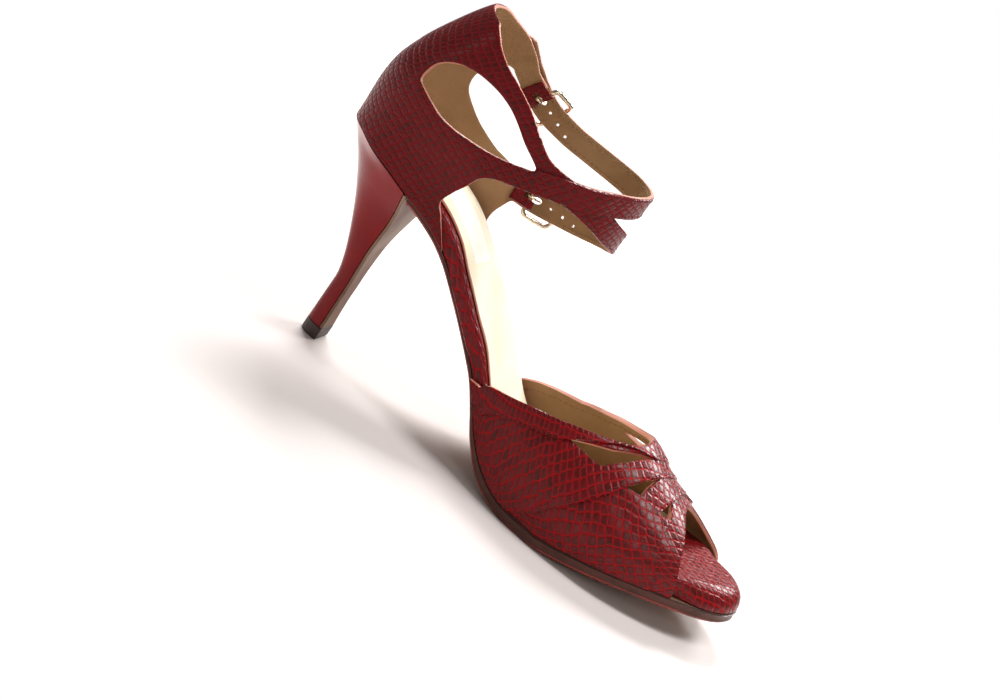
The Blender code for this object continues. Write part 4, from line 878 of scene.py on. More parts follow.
def group(name, inputs, outputs, build):
    """A node group with named inputs and outputs; build gets its nodes and the inputs and returns the outputs."""
    tree = bpy.data.node_groups.new(name, "ShaderNodeTree")
    for label, kind, value in inputs:
        socket = tree.interface.new_socket(label, in_out="INPUT", socket_type="NodeSocket" + kind)
        if value is not None:
            socket.default_value = value
    for label, kind in outputs:
        tree.interface.new_socket(label, in_out="OUTPUT", socket_type="NodeSocket" + kind)
    nodes = Nodes(tree)
    entry = nodes.add("NodeGroupInput")
    leave = nodes.add("NodeGroupOutput")
    made = build(nodes, {socket.name: socket for socket in entry.outputs if socket.name})
    for label, value in made.items():
        nodes.feed(leave.inputs[label], value)
    return tree


def snake_scales(nodes, given):
    """Lozenge scales: cells of a slightly irregular net, each a flat raised plate with soft corners, and the low
    valleys between them. Every plate has its own tone."""
    cells = given["Cells"]
    warp = nodes.add("TexNoise", {"Vector": cells, "Scale": 0.35, "Detail": 2.0}).outputs[1]
    bent = nodes.add("VectorMath", {0: warp, 1: (0.5, 0.5, 0.5)}, operation="SUBTRACT").outputs[0]
    bent = nodes.add("VectorMath", {0: bent, 3: given["Waver"]}, operation="SCALE").outputs[0]
    place = nodes.add("VectorMath", {0: cells, 1: bent}, operation="ADD").outputs[0]
    shared = {"Vector": place, "Scale": 1.0, "Randomness": 0.26}
    edge = nodes.add("TexVoronoi", shared, voronoi_dimensions="2D", feature="DISTANCE_TO_EDGE").outputs["Distance"]
    near = nodes.add("TexVoronoi", shared, voronoi_dimensions="2D", feature="F1")
    corner = nodes.math("MULTIPLY", nodes.math("SUBTRACT", 0.66, near.outputs["Distance"]), 0.9)
    inner = nodes.math("SMOOTH_MIN", edge, corner)
    inner.node.inputs[2].default_value = 0.08
    ragged = nodes.math("MULTIPLY", nodes.math("SUBTRACT", nodes.noise(place, 5.0, 2.0), 0.5), 0.05)
    inner = nodes.math("ADD", inner, ragged)
    half = nodes.math("MULTIPLY", given["Valley"], 0.5)
    plate_mask = nodes.span(inner, half, given["Valley"])
    tone = nodes.add("SeparateColor", {0: near.outputs["Color"]})
    own = nodes.mix(tone.outputs[0], given["Plate"], given["Plate Other"])
    mottle = nodes.span(nodes.noise(cells, 0.9, 4.0), 0.35, 0.7)
    own = nodes.mix(nodes.math("MULTIPLY", mottle, 0.35), own, given["Valley Colour"])
    colour = nodes.mix(plate_mask, given["Valley Colour"], own)
    dome = nodes.span(inner, 0.0, 0.26)
    tilt = nodes.math("MULTIPLY", nodes.math("SUBTRACT", tone.outputs[1], 0.5), 0.25)
    fine = nodes.math("MULTIPLY", nodes.noise(cells, 9.0, 3.0), 0.10)
    height = nodes.math("ADD", nodes.math("ADD", dome, fine), nodes.math("MULTIPLY", tilt, plate_mask))
    gloss = nodes.span(nodes.noise(cells, 0.5, 2.0), 0.3, 0.75, 0.24, 0.34)
    rough = nodes.add("Mix", {0: plate_mask, 2: 0.56, 3: gloss}, data_type="FLOAT").outputs[0]
    return {"Colour": colour, "Roughness": rough, "Height": height, "Plates": plate_mask}


def leather_grain(nodes, given):
    """Smooth lining leather: fine pores, broad cloudy tone and a few soft rub marks."""
    where = given["Vector"]
    cloud = nodes.span(nodes.noise(where, 38.0, 4.0), 0.3, 0.72)
    pores = nodes.add("TexVoronoi", {"Vector": where, "Scale": 1500.0, "Randomness": 1.0}, feature="F1")
    pore = nodes.span(pores.outputs["Distance"], 0.05, 0.42)
    fibre = nodes.noise(where, 2600.0, 3.0)
    rubbed = nodes.span(nodes.noise(nodes.stretched(where, (60.0, 240.0, 160.0)), 1.0, 5.0), 0.58, 0.75)
    share = nodes.math("ADD", nodes.math("MULTIPLY", cloud, 0.55), nodes.math("MULTIPLY", rubbed, 0.25), clamp=True)
    colour = nodes.mix(share, given["Colour"], given["Other"])
    colour = nodes.mix(nodes.math("MULTIPLY", nodes.math("SUBTRACT", 1.0, pore), 0.25), colour, given["Other"])
    height = nodes.math("ADD", nodes.math("MULTIPLY", pore, 0.6), nodes.math("MULTIPLY", fibre, 0.4))
    rough = nodes.span(cloud, 0.0, 1.0, 0.52, 0.68)
    return {"Colour": colour, "Roughness": rough, "Height": height}


def worn_edge(nodes, given):
    """A burnished cut edge: thin layers along the sole, and rubbed patches."""
    where = given["Vector"]
    layers = nodes.noise(nodes.stretched(where, (30.0, 30.0, 2600.0)), 1.0, 3.0)
    patch = nodes.span(nodes.noise(where, 70.0, 5.0), 0.42, 0.68)
    share = nodes.math("ADD", nodes.math("MULTIPLY", patch, 0.6), nodes.math("MULTIPLY", layers, 0.4), clamp=True)
    colour = nodes.mix(share, given["Colour"], given["Other"])
    rough = nodes.span(patch, 0.0, 1.0, 0.38, 0.60)
    return {"Colour": colour, "Roughness": rough, "Height": layers}


COLOUR_ROUGH_HEIGHT = (("Colour", "Color"), ("Roughness", "Float"), ("Height", "Float"))
SCALES = group("snake_scales", (
    ("Cells", "Vector", None), ("Valley Colour", "Color", OUTLINE_RED), ("Plate", "Color", CELL_MAROON),
    ("Plate Other", "Color", CELL_BROWN), ("Valley", "Float", 0.105), ("Waver", "Float", 0.30),
), (*COLOUR_ROUGH_HEIGHT, ("Plates", "Float")), snake_scales)
GRAIN = group("leather_grain", (
    ("Vector", "Vector", None), ("Colour", "Color", LINING_TAN), ("Other", "Color", LINING_DARK),
), COLOUR_ROUGH_HEIGHT, leather_grain)
BURNISH = group("worn_edge", (
    ("Vector", "Vector", None), ("Colour", "Color", EDGE_BROWN), ("Other", "Color", EDGE_DARK),
), COLOUR_ROUGH_HEIGHT, worn_edge)


def finish(name, tree=None, coordinates="Object", inputs=(), relief=0.0, coat=0.0, coat_roughness=0.2,
           specular=0.5, masks_coat=False, metallic=0.0, colour=None, roughness=0.5):
    """A surface finish: one Principled shader fed by a node group, whose height is laid on as a bump of that relief
    in metres."""
    made = bpy.data.materials.new(name)
    made.use_nodes = True
    nodes = Nodes(made.node_tree)
    shader = made.node_tree.nodes["Principled BSDF"]
    shader.inputs["Coat Weight"].default_value = coat
    shader.inputs["Coat Roughness"].default_value = coat_roughness
    shader.inputs["Specular IOR Level"].default_value = specular
    shader.inputs["Metallic"].default_value = metallic
    shader.inputs["Roughness"].default_value = roughness
    if colour:
        shader.inputs["Base Color"].default_value = colour
        made.diffuse_color = colour
    if tree:
        where = nodes.add("TexCoord").outputs[coordinates]
        body = nodes.add("Group", node_tree=tree)
        nodes.feed(body.inputs[0], where)
        for key, value in dict(inputs).items():
            nodes.feed(body.inputs[key], value)
        nodes.feed(shader.inputs["Base Color"], body.outputs["Colour"])
        nodes.feed(shader.inputs["Roughness"], body.outputs["Roughness"])
        if masks_coat:
            nodes.feed(shader.inputs["Coat Weight"], nodes.math("MULTIPLY", body.outputs["Plates"], coat))
        if relief:
            bump = nodes.add("Bump", {"Height": body.outputs["Height"], "Distance": relief, "Strength": 1.0})
            nodes.feed(shader.inputs["Normal"], bump.outputs[0])
    return made


def brushed(nodes, given):
    """Thin plated wire: faint scratches along it and slightly duller worn places."""
    where = given["Vector"]
    scratch = nodes.noise(nodes.stretched(where, (900.0, 900.0, 5200.0)), 1.0, 2.0)
    dull = nodes.span(nodes.noise(where, 260.0, 3.0), 0.4, 0.7)
    colour = nodes.mix(nodes.math("MULTIPLY", dull, 0.5), given["Colour"], given["Other"])
    rough = nodes.add("Mix", {0: dull, 2: 0.14, 3: 0.27}, data_type="FLOAT").outputs[0]
    return {"Colour": colour, "Roughness": rough, "Height": scratch}


def lacquer_skin(nodes, given):
    """Hard lacquer: a faint unevenness and a few fine rub marks."""
    where = given["Vector"]
    cloud = nodes.span(nodes.noise(where, 30.0, 2.0), 0.3, 0.75)
    colour = nodes.mix(cloud, given["Colour"], given["Other"])
    rub = nodes.span(nodes.noise(nodes.stretched(where, (90.0, 500.0, 90.0)), 1.0, 4.0), 0.62, 0.80)
    rough = nodes.add("Mix", {0: rub, 2: 0.16, 3: 0.30}, data_type="FLOAT").outputs[0]
    return {"Colour": colour, "Roughness": rough, "Height": nodes.noise(where, 240.0, 1.0)}


def rubber_skin(nodes, given):
    """Moulded wearing piece: a fine speckle and scuffed lighter grit."""
    where = given["Vector"]
    speck = nodes.noise(where, 1900.0, 3.0)
    grit = nodes.span(nodes.noise(where, 320.0, 5.0), 0.55, 0.75)
    colour = nodes.mix(nodes.math("MULTIPLY", grit, 0.5), given["Colour"], given["Other"])
    return {"Colour": colour, "Roughness": nodes.span(grit, 0.0, 1.0, 0.55, 0.8), "Height": speck}


PAIR = (("Vector", "Vector", None), ("Colour", "Color", PALE_GOLD), ("Other", "Color", WORN_GOLD))
BRUSHED = group("brushed_wire", PAIR, COLOUR_ROUGH_HEIGHT, brushed)
LACQUER_SKIN = group("lacquer_skin", PAIR, COLOUR_ROUGH_HEIGHT, lacquer_skin)
RUBBER_SKIN = group("rubber_skin", PAIR, COLOUR_ROUGH_HEIGHT, rubber_skin)

RED_SNAKE = finish("red_snake", SCALES, "UV", relief=0.00020, coat=0.12, coat_roughness=0.15, specular=0.12,
                   masks_coat=True)
FINE_SNAKE = finish("red_snake_fine", SCALES, "UV", {"Valley Colour": OUTLINE_DEEP, "Valley": 0.12, "Waver": 0.45}, relief=0.00014, coat=0.05,
                    coat_roughness=0.24, specular=0.12, masks_coat=True)
TAN_LINING = finish("tan_lining", GRAIN, relief=0.00006, specular=0.2)
# The sock's colours are partly its own tan and partly painted glare, lighter than the real tan.
SOCK_LEATHER = finish("sock_leather", GRAIN, inputs={"Colour": SOCK_TAN, "Other": SOCK_SHADE}, relief=0.00006,
                      coat=0.15, coat_roughness=0.35)
PINK_CUT = finish("pink_cut", GRAIN, inputs={"Colour": CUT_PINK, "Other": CUT_BROWN}, relief=0.00008)
RED_CUT = finish("red_cut", GRAIN, inputs={"Colour": CUT_BROWN, "Other": THREAD_RED}, relief=0.00008)
BROWN_EDGE = finish("brown_edge", BURNISH, relief=0.00010, coat=0.08, coat_roughness=0.3, specular=0.2)
RED_BEVEL = finish("red_bevel", BURNISH, inputs={"Colour": BEVEL_RED, "Other": EDGE_DARK}, relief=0.00008)
# Painted shade: the groove between the sole and the upper is coloured dark.
GROOVE_PAINTED_SHADE = finish("groove_painted_shade", BURNISH, inputs={"Colour": EDGE_DARK, "Other": RUBBER}, relief=0.00008)
WALKED_SOLE = finish("walked_sole", GRAIN, inputs={"Colour": COVER_GREY, "Other": EDGE_BROWN}, relief=0.00012)
HEEL_LACQUER = finish("heel_lacquer", LACQUER_SKIN, inputs={"Colour": LACQUER_RED, "Other": LACQUER_DEEP},
                      relief=0.00002, coat=0.16, coat_roughness=0.08, specular=0.10)
LIFT_RUBBER = finish("lift_rubber", RUBBER_SKIN, inputs={"Colour": RUBBER, "Other": EDGE_DARK}, relief=0.00010)
BUCKLE_METAL = finish("buckle_metal", BRUSHED, relief=0.00001, metallic=1.0)
TAN_THREAD = finish("tan_thread", GRAIN, inputs={"Colour": THREAD_TAN, "Other": LINING_DARK}, relief=0.00004)
RED_THREAD = finish("red_thread", GRAIN, inputs={"Colour": THREAD_RED, "Other": CELL_BROWN}, relief=0.00004)
BLANK_PATCH = finish("blank_patch", GRAIN, inputs={"Colour": PATCH_GREY, "Other": SOCK_TAN}, relief=0.00003,
                     coat=0.3, coat_roughness=0.3)

# Width and height of the scales along the vamp, station by station, and the turn of the net on each of its bands
CELL_SIZE = ((0.43, 0.0026), (0.58, 0.0032), (0.70, 0.0040), (0.85, 0.0046), (0.93, 0.0047))
BAND_TURN = (0.10, -0.22, 0.14, -0.10)
# The vamp is wider round the foot than its flat pattern
ROUND_SPREAD = 1.25
QUARTER_CELL = (0.0040, 0.0031)
QUARTER_TURN = -0.30
INSOLE_CELL = (0.0048, 0.0038)


def lozenges(flat, width, height, turn=0.0):
    """Turns a pattern into a net of lozenges: one unit along each side of a scale."""
    x = flat[..., 0] * math.cos(turn) - flat[..., 1] * math.sin(turn)
    y = flat[..., 0] * math.sin(turn) + flat[..., 1] * math.cos(turn)
    return np.stack([x / width + y / height, y / height - x / width], -1)


def seam_station(seam, y):
    """Where a seam between two bands crosses a height of the pattern, as a smooth line through its points."""
    table = [(turn * TURN_WIDTH, station * LENGTH) for station, turn in seam]
    return flow(table, y)


def behind_seams(points):
    """Number of seams behind each point of the vamp's pattern: the band that it belongs to."""
    return sum((points[:, 0] > seam_station(seam, points[:, 1]) + STEP_RUN / 2).astype(int) for seam in SEAMS)


def vamp_chart(flat, faces):
    """Scales that grow toward the toe; each band was cut with its own direction."""
    at = np.linspace(0.40, 0.95, 200)
    grown = np.concatenate([[0], np.cumsum(np.diff(at) * LENGTH / flow(CELL_SIZE, (at[1:] + at[:-1]) / 2))])
    band = behind_seams(flat[faces].mean(1))
    turn = np.asarray(BAND_TURN)[band][:, None]
    corner = flat[faces]
    size = flow(CELL_SIZE, corner[..., 0] / LENGTH)
    along = np.interp(corner[..., 0] / LENGTH, at, grown)
    across = corner[..., 1] * ROUND_SPREAD / size
    x = along * np.cos(turn) - across * np.sin(turn) + 17.3 * band[:, None]
    y = along * np.sin(turn) + across * np.cos(turn)
    return np.stack([x + y, y - x], -1)


# Soft creases: station and turn of the middle, direction, length and width in metres, depth
VAMP_CREASES = (
    (0.560, -0.720, 1.25, 0.016, 0.0022, -0.00035), (0.585, -0.700, 1.15, 0.014, 0.0020, 0.00025),
    (0.640, -0.700, 1.20, 0.015, 0.0022, -0.00030), (0.700, -0.620, 1.05, 0.012, 0.0020, -0.00025),
    (0.780, -0.560, 1.30, 0.010, 0.0018, -0.00022), (0.570, 0.720, -1.25, 0.015, 0.0022, -0.00030),
    (0.650, 0.700, -1.10, 0.014, 0.0022, -0.00030), (0.740, 0.560, -1.20, 0.011, 0.0018, -0.00022),
)


def creases(flat, table, scale):
    """Sum of soft troughs and ridges: each is a bell across its line and fades toward the line's ends."""
    total = np.zeros(len(flat))
    for station, turn, direction, long, wide, depth in table:
        away = flat - np.array((station, turn)) * scale
        ahead = (math.cos(direction), math.sin(direction))
        along = away @ ahead
        across = away @ (-ahead[1], ahead[0])
        total += depth * np.exp(-(across / wide) ** 2 - (along / long) ** 2)
    return total


def band_rise(points):
    """Each band rises toward its front edge and lies on the band ahead of it; the edge stands a full overlay high."""
    marks = [seam_station(seam, points[:, 1]) for seam in SEAMS]
    x = points[:, 0]
    lift = np.zeros(len(points))
    for k, mark in enumerate(marks):
        before = marks[k - 1] if k else mark - 0.16 * LENGTH
        share = 1 - (mark - x) / np.maximum(mark - before, 0.012)
        in_band = (x <= mark + 1e-7) & (x > before + 1e-7)
        lift = np.where(in_band, np.clip(share, 0, 1), lift)
    return OVERLAY * lift


FINE_STEP = 0.00018


def make_vamp():
    """Four bands over the toes as one wall, with its gaps, the stepped seams, lining inside and pink cut edges."""
    topline = evenly(rounded(on_pattern(TOPLINE), 10), EDGE_STEP)
    peep = evenly(rounded(on_pattern(PEEP_EDGE), 10), EDGE_STEP)
    outer = np.array([peep[-1], topline[-1]])
    inner = np.array([topline[0], peep[0]])
    outline = np.concatenate([evenly(inner, EDGE_STEP)[:-1], peep[:-1], evenly(outer, EDGE_STEP)[:-1], topline[:0:-1]])
    gaps = [evenly(on_pattern(corners), EDGE_STEP, closed=True) for corners in GAPS]

    def keep(points):
        kept = inside(points, outline)
        for gap in gaps:
            kept &= ~inside(points, gap)
        return kept

    lines = []
    for seam in SEAMS:
        y = np.arange(seam[0][1] * TURN_WIDTH, seam[-1][1] * TURN_WIDTH, EDGE_STEP)
        x = seam_station(seam, y)
        for shift in (-0.0004, 0.0, FINE_STEP):
            lines.append(np.column_stack([x + shift, y]))

    def place(points, out):
        base = vamp_point(points)
        away = outward(vamp_point, points)
        crease = creases(points, VAMP_CREASES, (LENGTH, TURN_WIDTH))
        laid = base + away * (np.asarray(out) + crease)[:, None]
        return np.where((np.asarray(out) > LEATHER / 2)[:, None], on_sole(laid.copy()), laid)

    def height(points):
        return LEATHER + band_rise(points)

    stands_for(leather("vamp_bands", [outline, *gaps], keep, place, height, [RED_SNAKE, TAN_LINING, PINK_CUT],
                       vamp_chart, lines), "red_leather", "vamp")
    row = evenly(inset_line(topline, -0.0016), 0.0004)
    row = row[np.abs(row[:, 1]) < 0.93 * TURN_WIDTH]
    stands_for(stitch_row("vamp_lining_stitches", row, place, 0.0, TAN_THREAD, radius=0.00022), "lining_leather")
    for k, seam in enumerate(SEAMS):
        y = np.arange(seam[0][1] * TURN_WIDTH * 0.94, seam[-1][1] * TURN_WIDTH * 0.94, 0.0004)
        line = np.column_stack([seam_station(seam, y) - 0.0013, y])
        solid = keep(line) & keep(line - (0.0022, 0)) & keep(line + (0.0022, 0))
        line = line[solid]
        runs = np.split(line, np.where(np.linalg.norm(np.diff(line, axis=0), axis=1) > 0.002)[0] + 1)
        for part, run in enumerate(r for r in runs if len(r) > 12):
            out = LEATHER + band_rise(run).mean()
            stands_for(stitch_row(f"vamp_seam_{k + 1}_stitches_{part + 1}", run, place, out + 0.00002, RED_THREAD,
                                  pitch=0.0021, radius=0.00013), "red_leather")


def inset_line(line, amount):
    """Moves an open line sideways, to its left for a positive amount."""
    run = np.gradient(line, axis=0)
    return line + np.stack([-run[:, 1], run[:, 0]], 1) / np.linalg.norm(run, axis=1, keepdims=True) * amount


def fine_ribbon(quarter, rows, grow=0.0):
    middle, outline = ribbon(quarter, rows, grow)
    return middle, outline


def make_quarter(quarter, buckles):
    """Heel cup, cut-outs, bands and both straps as one wall, with punched holes and stitched edges."""
    total = (quarter.total, 0)

    def mark(station, height, side):
        z = SEAT_HEIGHT + height * COLLAR_HEIGHT
        return quarter.side_distance(station * LENGTH, side, z), z

    def outer_side(rows, before=(), after=()):
        marks = [mark(x, h, 1) for x, h in rows]
        return rounded(np.array([*before, *marks, *after]) - total, 8)

    tongues = [buckle.pattern(TONGUE_END, side * STRAP_WIDTH / 2) for buckle in buckles for side in (-1, 1)]
    tongues = sorted(tongues, key=lambda end: -end[1])
    inner = [mark(x, h, -1) for x, h in INNER_EDGE]
    collar = np.array([(0.0, SEAT_HEIGHT + COLLAR_HEIGHT)])
    inner_low, inner_top = rounded(inner[:10], 8), rounded(inner[10:], 8)
    outer_top = outer_side(OUTER_TOP, after=tongues[:1])
    outer_hole = outer_side(OUTER_HOLE, before=tongues[1:2], after=tongues[2:3])
    outer_low = outer_side(OUTER_LOW, before=tongues[3:])
    lowest = np.linspace(outer_low[-1, 0], inner_low[0, 0], 161)[1:-1]
    ground = np.interp(lowest % quarter.total, quarter.along, quarter.low[:, 0])
    feather = np.column_stack([lowest, sole_top(ground) + CLEARANCE])
    for end in (inner_low[0], outer_low[-1]):
        end[1] = sole_top(np.interp(end[0] % quarter.total, quarter.along, quarter.low[:, 0])) + CLEARANCE
    top = rounded(np.concatenate([inner_top[-12::4], collar, outer_top[:12:4]]), 6)
    body = np.concatenate([feather, inner_low, inner_top[:-12], top, outer_top[12:], outer_hole, outer_low])
    body = evenly(body, EDGE_STEP, closed=True)
    hole = evenly(rounded([mark(x, h, -1) for x, h in INNER_HOLE], 8, closed=True), EDGE_STEP, closed=True)
    upper_middle, upper = ribbon(quarter, UPPER_STRAP)
    _, upper_core = ribbon(quarter, UPPER_STRAP, -FINE_STEP)
    lower_middle, lower = ribbon(quarter, LOWER_STRAP)
    upper, upper_core, lower = (evenly(line, EDGE_STEP, closed=True) for line in (upper, upper_core, lower))
    turn = np.linspace(0, 2 * math.pi, 17)[:-1]
    slots = [buckle.pattern(0.79 * FRAME_LENGTH + PRONG_HOLE / 2 * np.cos(turn),
                            (PRONG_WIRE + 2 * CLEARANCE) * np.sin(turn)) for buckle in buckles]
    punched = [buckle.pattern(0.79 * FRAME_LENGTH + k * HOLE_PITCH + HOLE_RADIUS * np.cos(turn),
                              HOLE_RADIUS * np.sin(turn)) for buckle in buckles for k in (-3, -2, -1, 1, 2)]

    def keep(points):
        kept = inside(points, body) | inside(points, upper) | inside(points, lower)
        for opening in (hole, *slots, *punched):
            kept &= ~inside(points, opening)
        return kept

    step_from = quarter.side_distance(STEP_FROM * LENGTH, -1, SEAT_HEIGHT + 0.4 * COLLAR_HEIGHT)
    step_to = quarter.side_distance(STEP_TO * LENGTH, -1, SEAT_HEIGHT + 0.4 * COLLAR_HEIGHT)
    fade = STEP_FADE * LENGTH

    def height(points):
        on_strap = inside(points, upper_core) | (distance_to(points, upper_core) < 2e-5)
        here = ease((points[:, 0] - step_from) / fade) * (1 - ease((points[:, 0] - step_to) / fade))
        return LEATHER + OVERLAY * here * on_strap

    def place(points, out):
        away = outward(quarter.point, points)
        lift = strap_lift(quarter, buckles, points)
        laid = quarter.point(points) + away * (lift + np.asarray(out))[:, None]
        return np.where((np.asarray(out) > LEATHER / 2)[:, None], on_sole(laid.copy()), laid)

    def chart(flat, faces):
        return lozenges(flat[faces], *QUARTER_CELL, QUARTER_TURN)

    stands_for(leather("quarter_and_straps", [body, hole, upper, upper_core, lower, *slots, *punched], keep, place,
                       height, [FINE_SNAKE, TAN_LINING, PINK_CUT], chart), "red_leather", "quarter")
    for name, middle in (("upper", upper_middle), ("lower", lower_middle)):
        for side in (-1, 1):
            row = inset_line(middle[4:, :2], side * (STRAP_WIDTH / 2 - 0.0013))
            row = row[row[:, 0] > quarter.front * 0.80]
            stands_for(stitch_row(f"strap_{name}_lining_stitches_{'in' if side < 0 else 'out'}", evenly(row, 0.0004),
                                  place, 0.0, TAN_THREAD, pitch=0.0021, radius=0.00022), "lining_leather")
            stands_for(stitch_row(f"strap_{name}_stitches_{'in' if side < 0 else 'out'}", evenly(row, 0.0004),
                                  place, LEATHER + 0.00002, RED_THREAD, pitch=0.0021, radius=0.00013), "red_leather")


HOLE_PITCH = 0.0055
HOLE_RADIUS = 0.0006


def fine_stations(first=0.0):
    """Stations close together where the outline is round."""
    toe = TOE_END + (1 - TOE_END) * np.sin(np.linspace(0, math.pi / 2, 34)) ** 0.9
    middle = np.linspace(max(first, HEEL_END), TOE_END, 90)
    if first > 0:
        return LENGTH * np.concatenate([middle, toe[1:]])
    heel = HEEL_END * (1 - np.cos(np.linspace(0, math.pi / 2, 26)))
    return LENGTH * np.concatenate([heel[:-1], middle, toe[1:]])


def fine_loop(first=0.0):
    """The sole's edge as a closed loop: out along the inner side, back along the outer side."""
    x = fine_stations(first)
    inner = np.stack([x, -half_width(x, -1)], 1)
    outer = np.stack([x, half_width(x, 1)], 1)[::-1]
    return np.concatenate([inner, outer[1:] if first > 0 else outer[1:-1]])


def make_outsole():
    """Thin leather sole: the walked-on face, a red bevel, the brown edge, and a small groove under the upper whose dark
    colour is painted shade.
    """
    start = BREAST + COVER + 2 * CLEARANCE
    loop = fine_loop(start / LENGTH)
    x = loop[:, 0]
    waist = WAIST_INSET * (1 - ease((x / LENGTH - 0.42) / 0.07))
    loop[:, 1] *= 1 - waist / np.maximum(np.abs(loop[:, 1]), 0.01)
    thick = outsole_thickness(x)
    rise = np.minimum(BEVEL, thick * 0.4)
    rings = []
    for share, up in ((1.0, 0.0), (0.80, 0.06), (0.22, 0.72), (0.0, 1.0)):
        ring = inset(loop, BEVEL * share)
        ring[:, 0] = np.maximum(ring[:, 0], start)
        rings.append(level(ring, sole_top(ring[:, 0]) - thick + rise * up))
    for share, inward in ((0.12, 0.00012), (0.50, 0.0002), (0.80, 0.00008), (0.88, 0.0), (0.93, 0.0004), (1.0, 0.0005)):
        ring = inset(loop, inward)
        ring[:, 0] = np.maximum(ring[:, 0], start)
        top = sole_top(ring[:, 0])
        rings.append(level(ring, top - (thick - rise) * (1 - share)))
    # Band 3, the top of the side just under the upper, takes the painted shade.
    bands = [0, 1, 1, 1, 2, 2, 2, 2, 3, 3, 0]
    piece = plate("sole_leather", rings, lambda at: sole_top(at) - outsole_thickness(at), sole_top,
                  [WALKED_SOLE, RED_BEVEL, BROWN_EDGE, GROOVE_PAINTED_SHADE], bands, open_end=True)
    stands_for(piece, "sole_leather", "outsole")


def insole_edge():
    """Outline of the insole: inside the upper where there is one, and near the sole's edge elsewhere."""
    loop = fine_loop()
    share = loop[:, 0] / LENGTH
    under_upper = WELT + LEATHER + 2 * CLEARANCE
    free = np.zeros(len(loop))
    for side, vamp_rear, vamp_front in ((-1, TOPLINE[0][0], PEEP_EDGE[0][0]), (1, TOPLINE[-1][0], PEEP_EDGE[-1][0])):
        bare = ease((share - QUARTER_FRONT) / FREE_RUN) * (1 - ease((share - vamp_rear) / FREE_RUN + 1.2))
        toe = ease((share - vamp_front) / FREE_RUN - 0.2)
        free = np.where(loop[:, 1] * side >= 0, np.maximum(bare, toe), free)
    return inset(loop, under_upper + (WELT - under_upper) * free)


def make_insole():
    """The wrapped board: upright side, a round shoulder that grows over the toe platform, and a flat top."""
    edge = insole_edge()
    lower = sole_top(edge[:, 0]) + CLEARANCE
    turn = INSOLE_ROUND + (TOE_ROUND - INSOLE_ROUND) * ease((edge[:, 0] / LENGTH - PEEP_EDGE[0][0]) / 0.05)
    rings = [level(inset(edge, 0.0004), lower), level(edge, lower + 0.0003)]
    rings.append(level(edge, (lower + lower + INSOLE - turn) / 2))
    for angle in np.linspace(0, math.pi / 2, 9):
        ring = inset(edge, turn * (1 - math.cos(angle)))
        rings.append(level(ring, sole_top(ring[:, 0]) + CLEARANCE + INSOLE - turn * (1 - math.sin(angle))))
    piece = plate("insole_cover", rings, lambda at: sole_top(at) + CLEARANCE,
                  lambda at: sole_top(at) + CLEARANCE + INSOLE, [RED_SNAKE], np.zeros(len(rings) + 1, int))
    layer = piece.data.uv_layers["pattern"].data
    flat = np.empty(len(layer) * 2, np.float32)
    layer.foreach_get("uv", flat)
    layer.foreach_set("uv", lozenges(flat.reshape(-1, 2), *INSOLE_CELL).ravel())
    stands_for(piece, "red_leather", "insole")


def sock_ring(inward):
    """The sock's outline: the insole's, moved inward and cut off by a shallow curve under the vamp."""
    ring = inset(insole_edge(), SOCK_MARGIN + inward)
    front = SOCK_END - inward - 0.006 * (ring[:, 1] / (BALL_WIDTH / 2)) ** 2
    ring[:, 0] = np.minimum(ring[:, 0], front)
    return ring


def make_sock():
    """Soft beige sock with a rounded edge, and the plain patch that stands where a label is."""
    base = INSOLE + 2 * CLEARANCE
    rings = []
    for inward, up in ((0.0003, 0.0), (0.0, 0.25), (0.0, 0.55), (0.0002, 0.85), (0.0006, 1.0)):
        ring = sock_ring(inward)
        rings.append(level(ring, sole_top(ring[:, 0]) + base + SOCK * up))
    piece = plate("sock", rings, lambda at: sole_top(at) + base, lambda at: sole_top(at) + base + SOCK,
                  [SOCK_LEATHER, PINK_CUT], [0, 1, 1, 1, 1, 0])
    stands_for(piece, "lining_leather", "sock_lining")
    along = np.linspace(PATCH_FROM, PATCH_TO, 25) * LENGTH
    across = np.linspace(-1, 1, 17)
    x, c = np.meshgrid(along, across, indexing="ij")
    bow = 1 - PATCH_BOW * c ** 2
    middle = (along[0] + along[-1]) / 2
    x = middle + (x - middle) * bow
    y = c * PATCH_WIDTH / 2
    z = sole_top(x) + base + SOCK
    under = np.stack([x, y, z - 0.0003], -1)
    over = np.stack([x, y, z + 0.00012], -1)
    points = np.concatenate([over.reshape(-1, 3), under.reshape(-1, 3)])
    top = ring_faces(25, 17, closed=False)
    count = 25 * 17
    rim = np.concatenate([np.arange(17), np.arange(1, 25) * 17 + 16, 24 * 17 + np.arange(16)[::-1],
                          np.arange(1, 24)[::-1] * 17])
    after = np.roll(rim, -1)
    walls = np.stack([rim, rim + count, after + count, after], 1)
    patch = add_piece("plain_patch", points, [top, top[:, ::-1] + count, walls], [BLANK_PATCH])
    stands_for(patch, "lining_leather")


PATCH_FROM, PATCH_TO, PATCH_WIDTH, PATCH_BOW = 0.155, 0.318, 0.020, 0.02


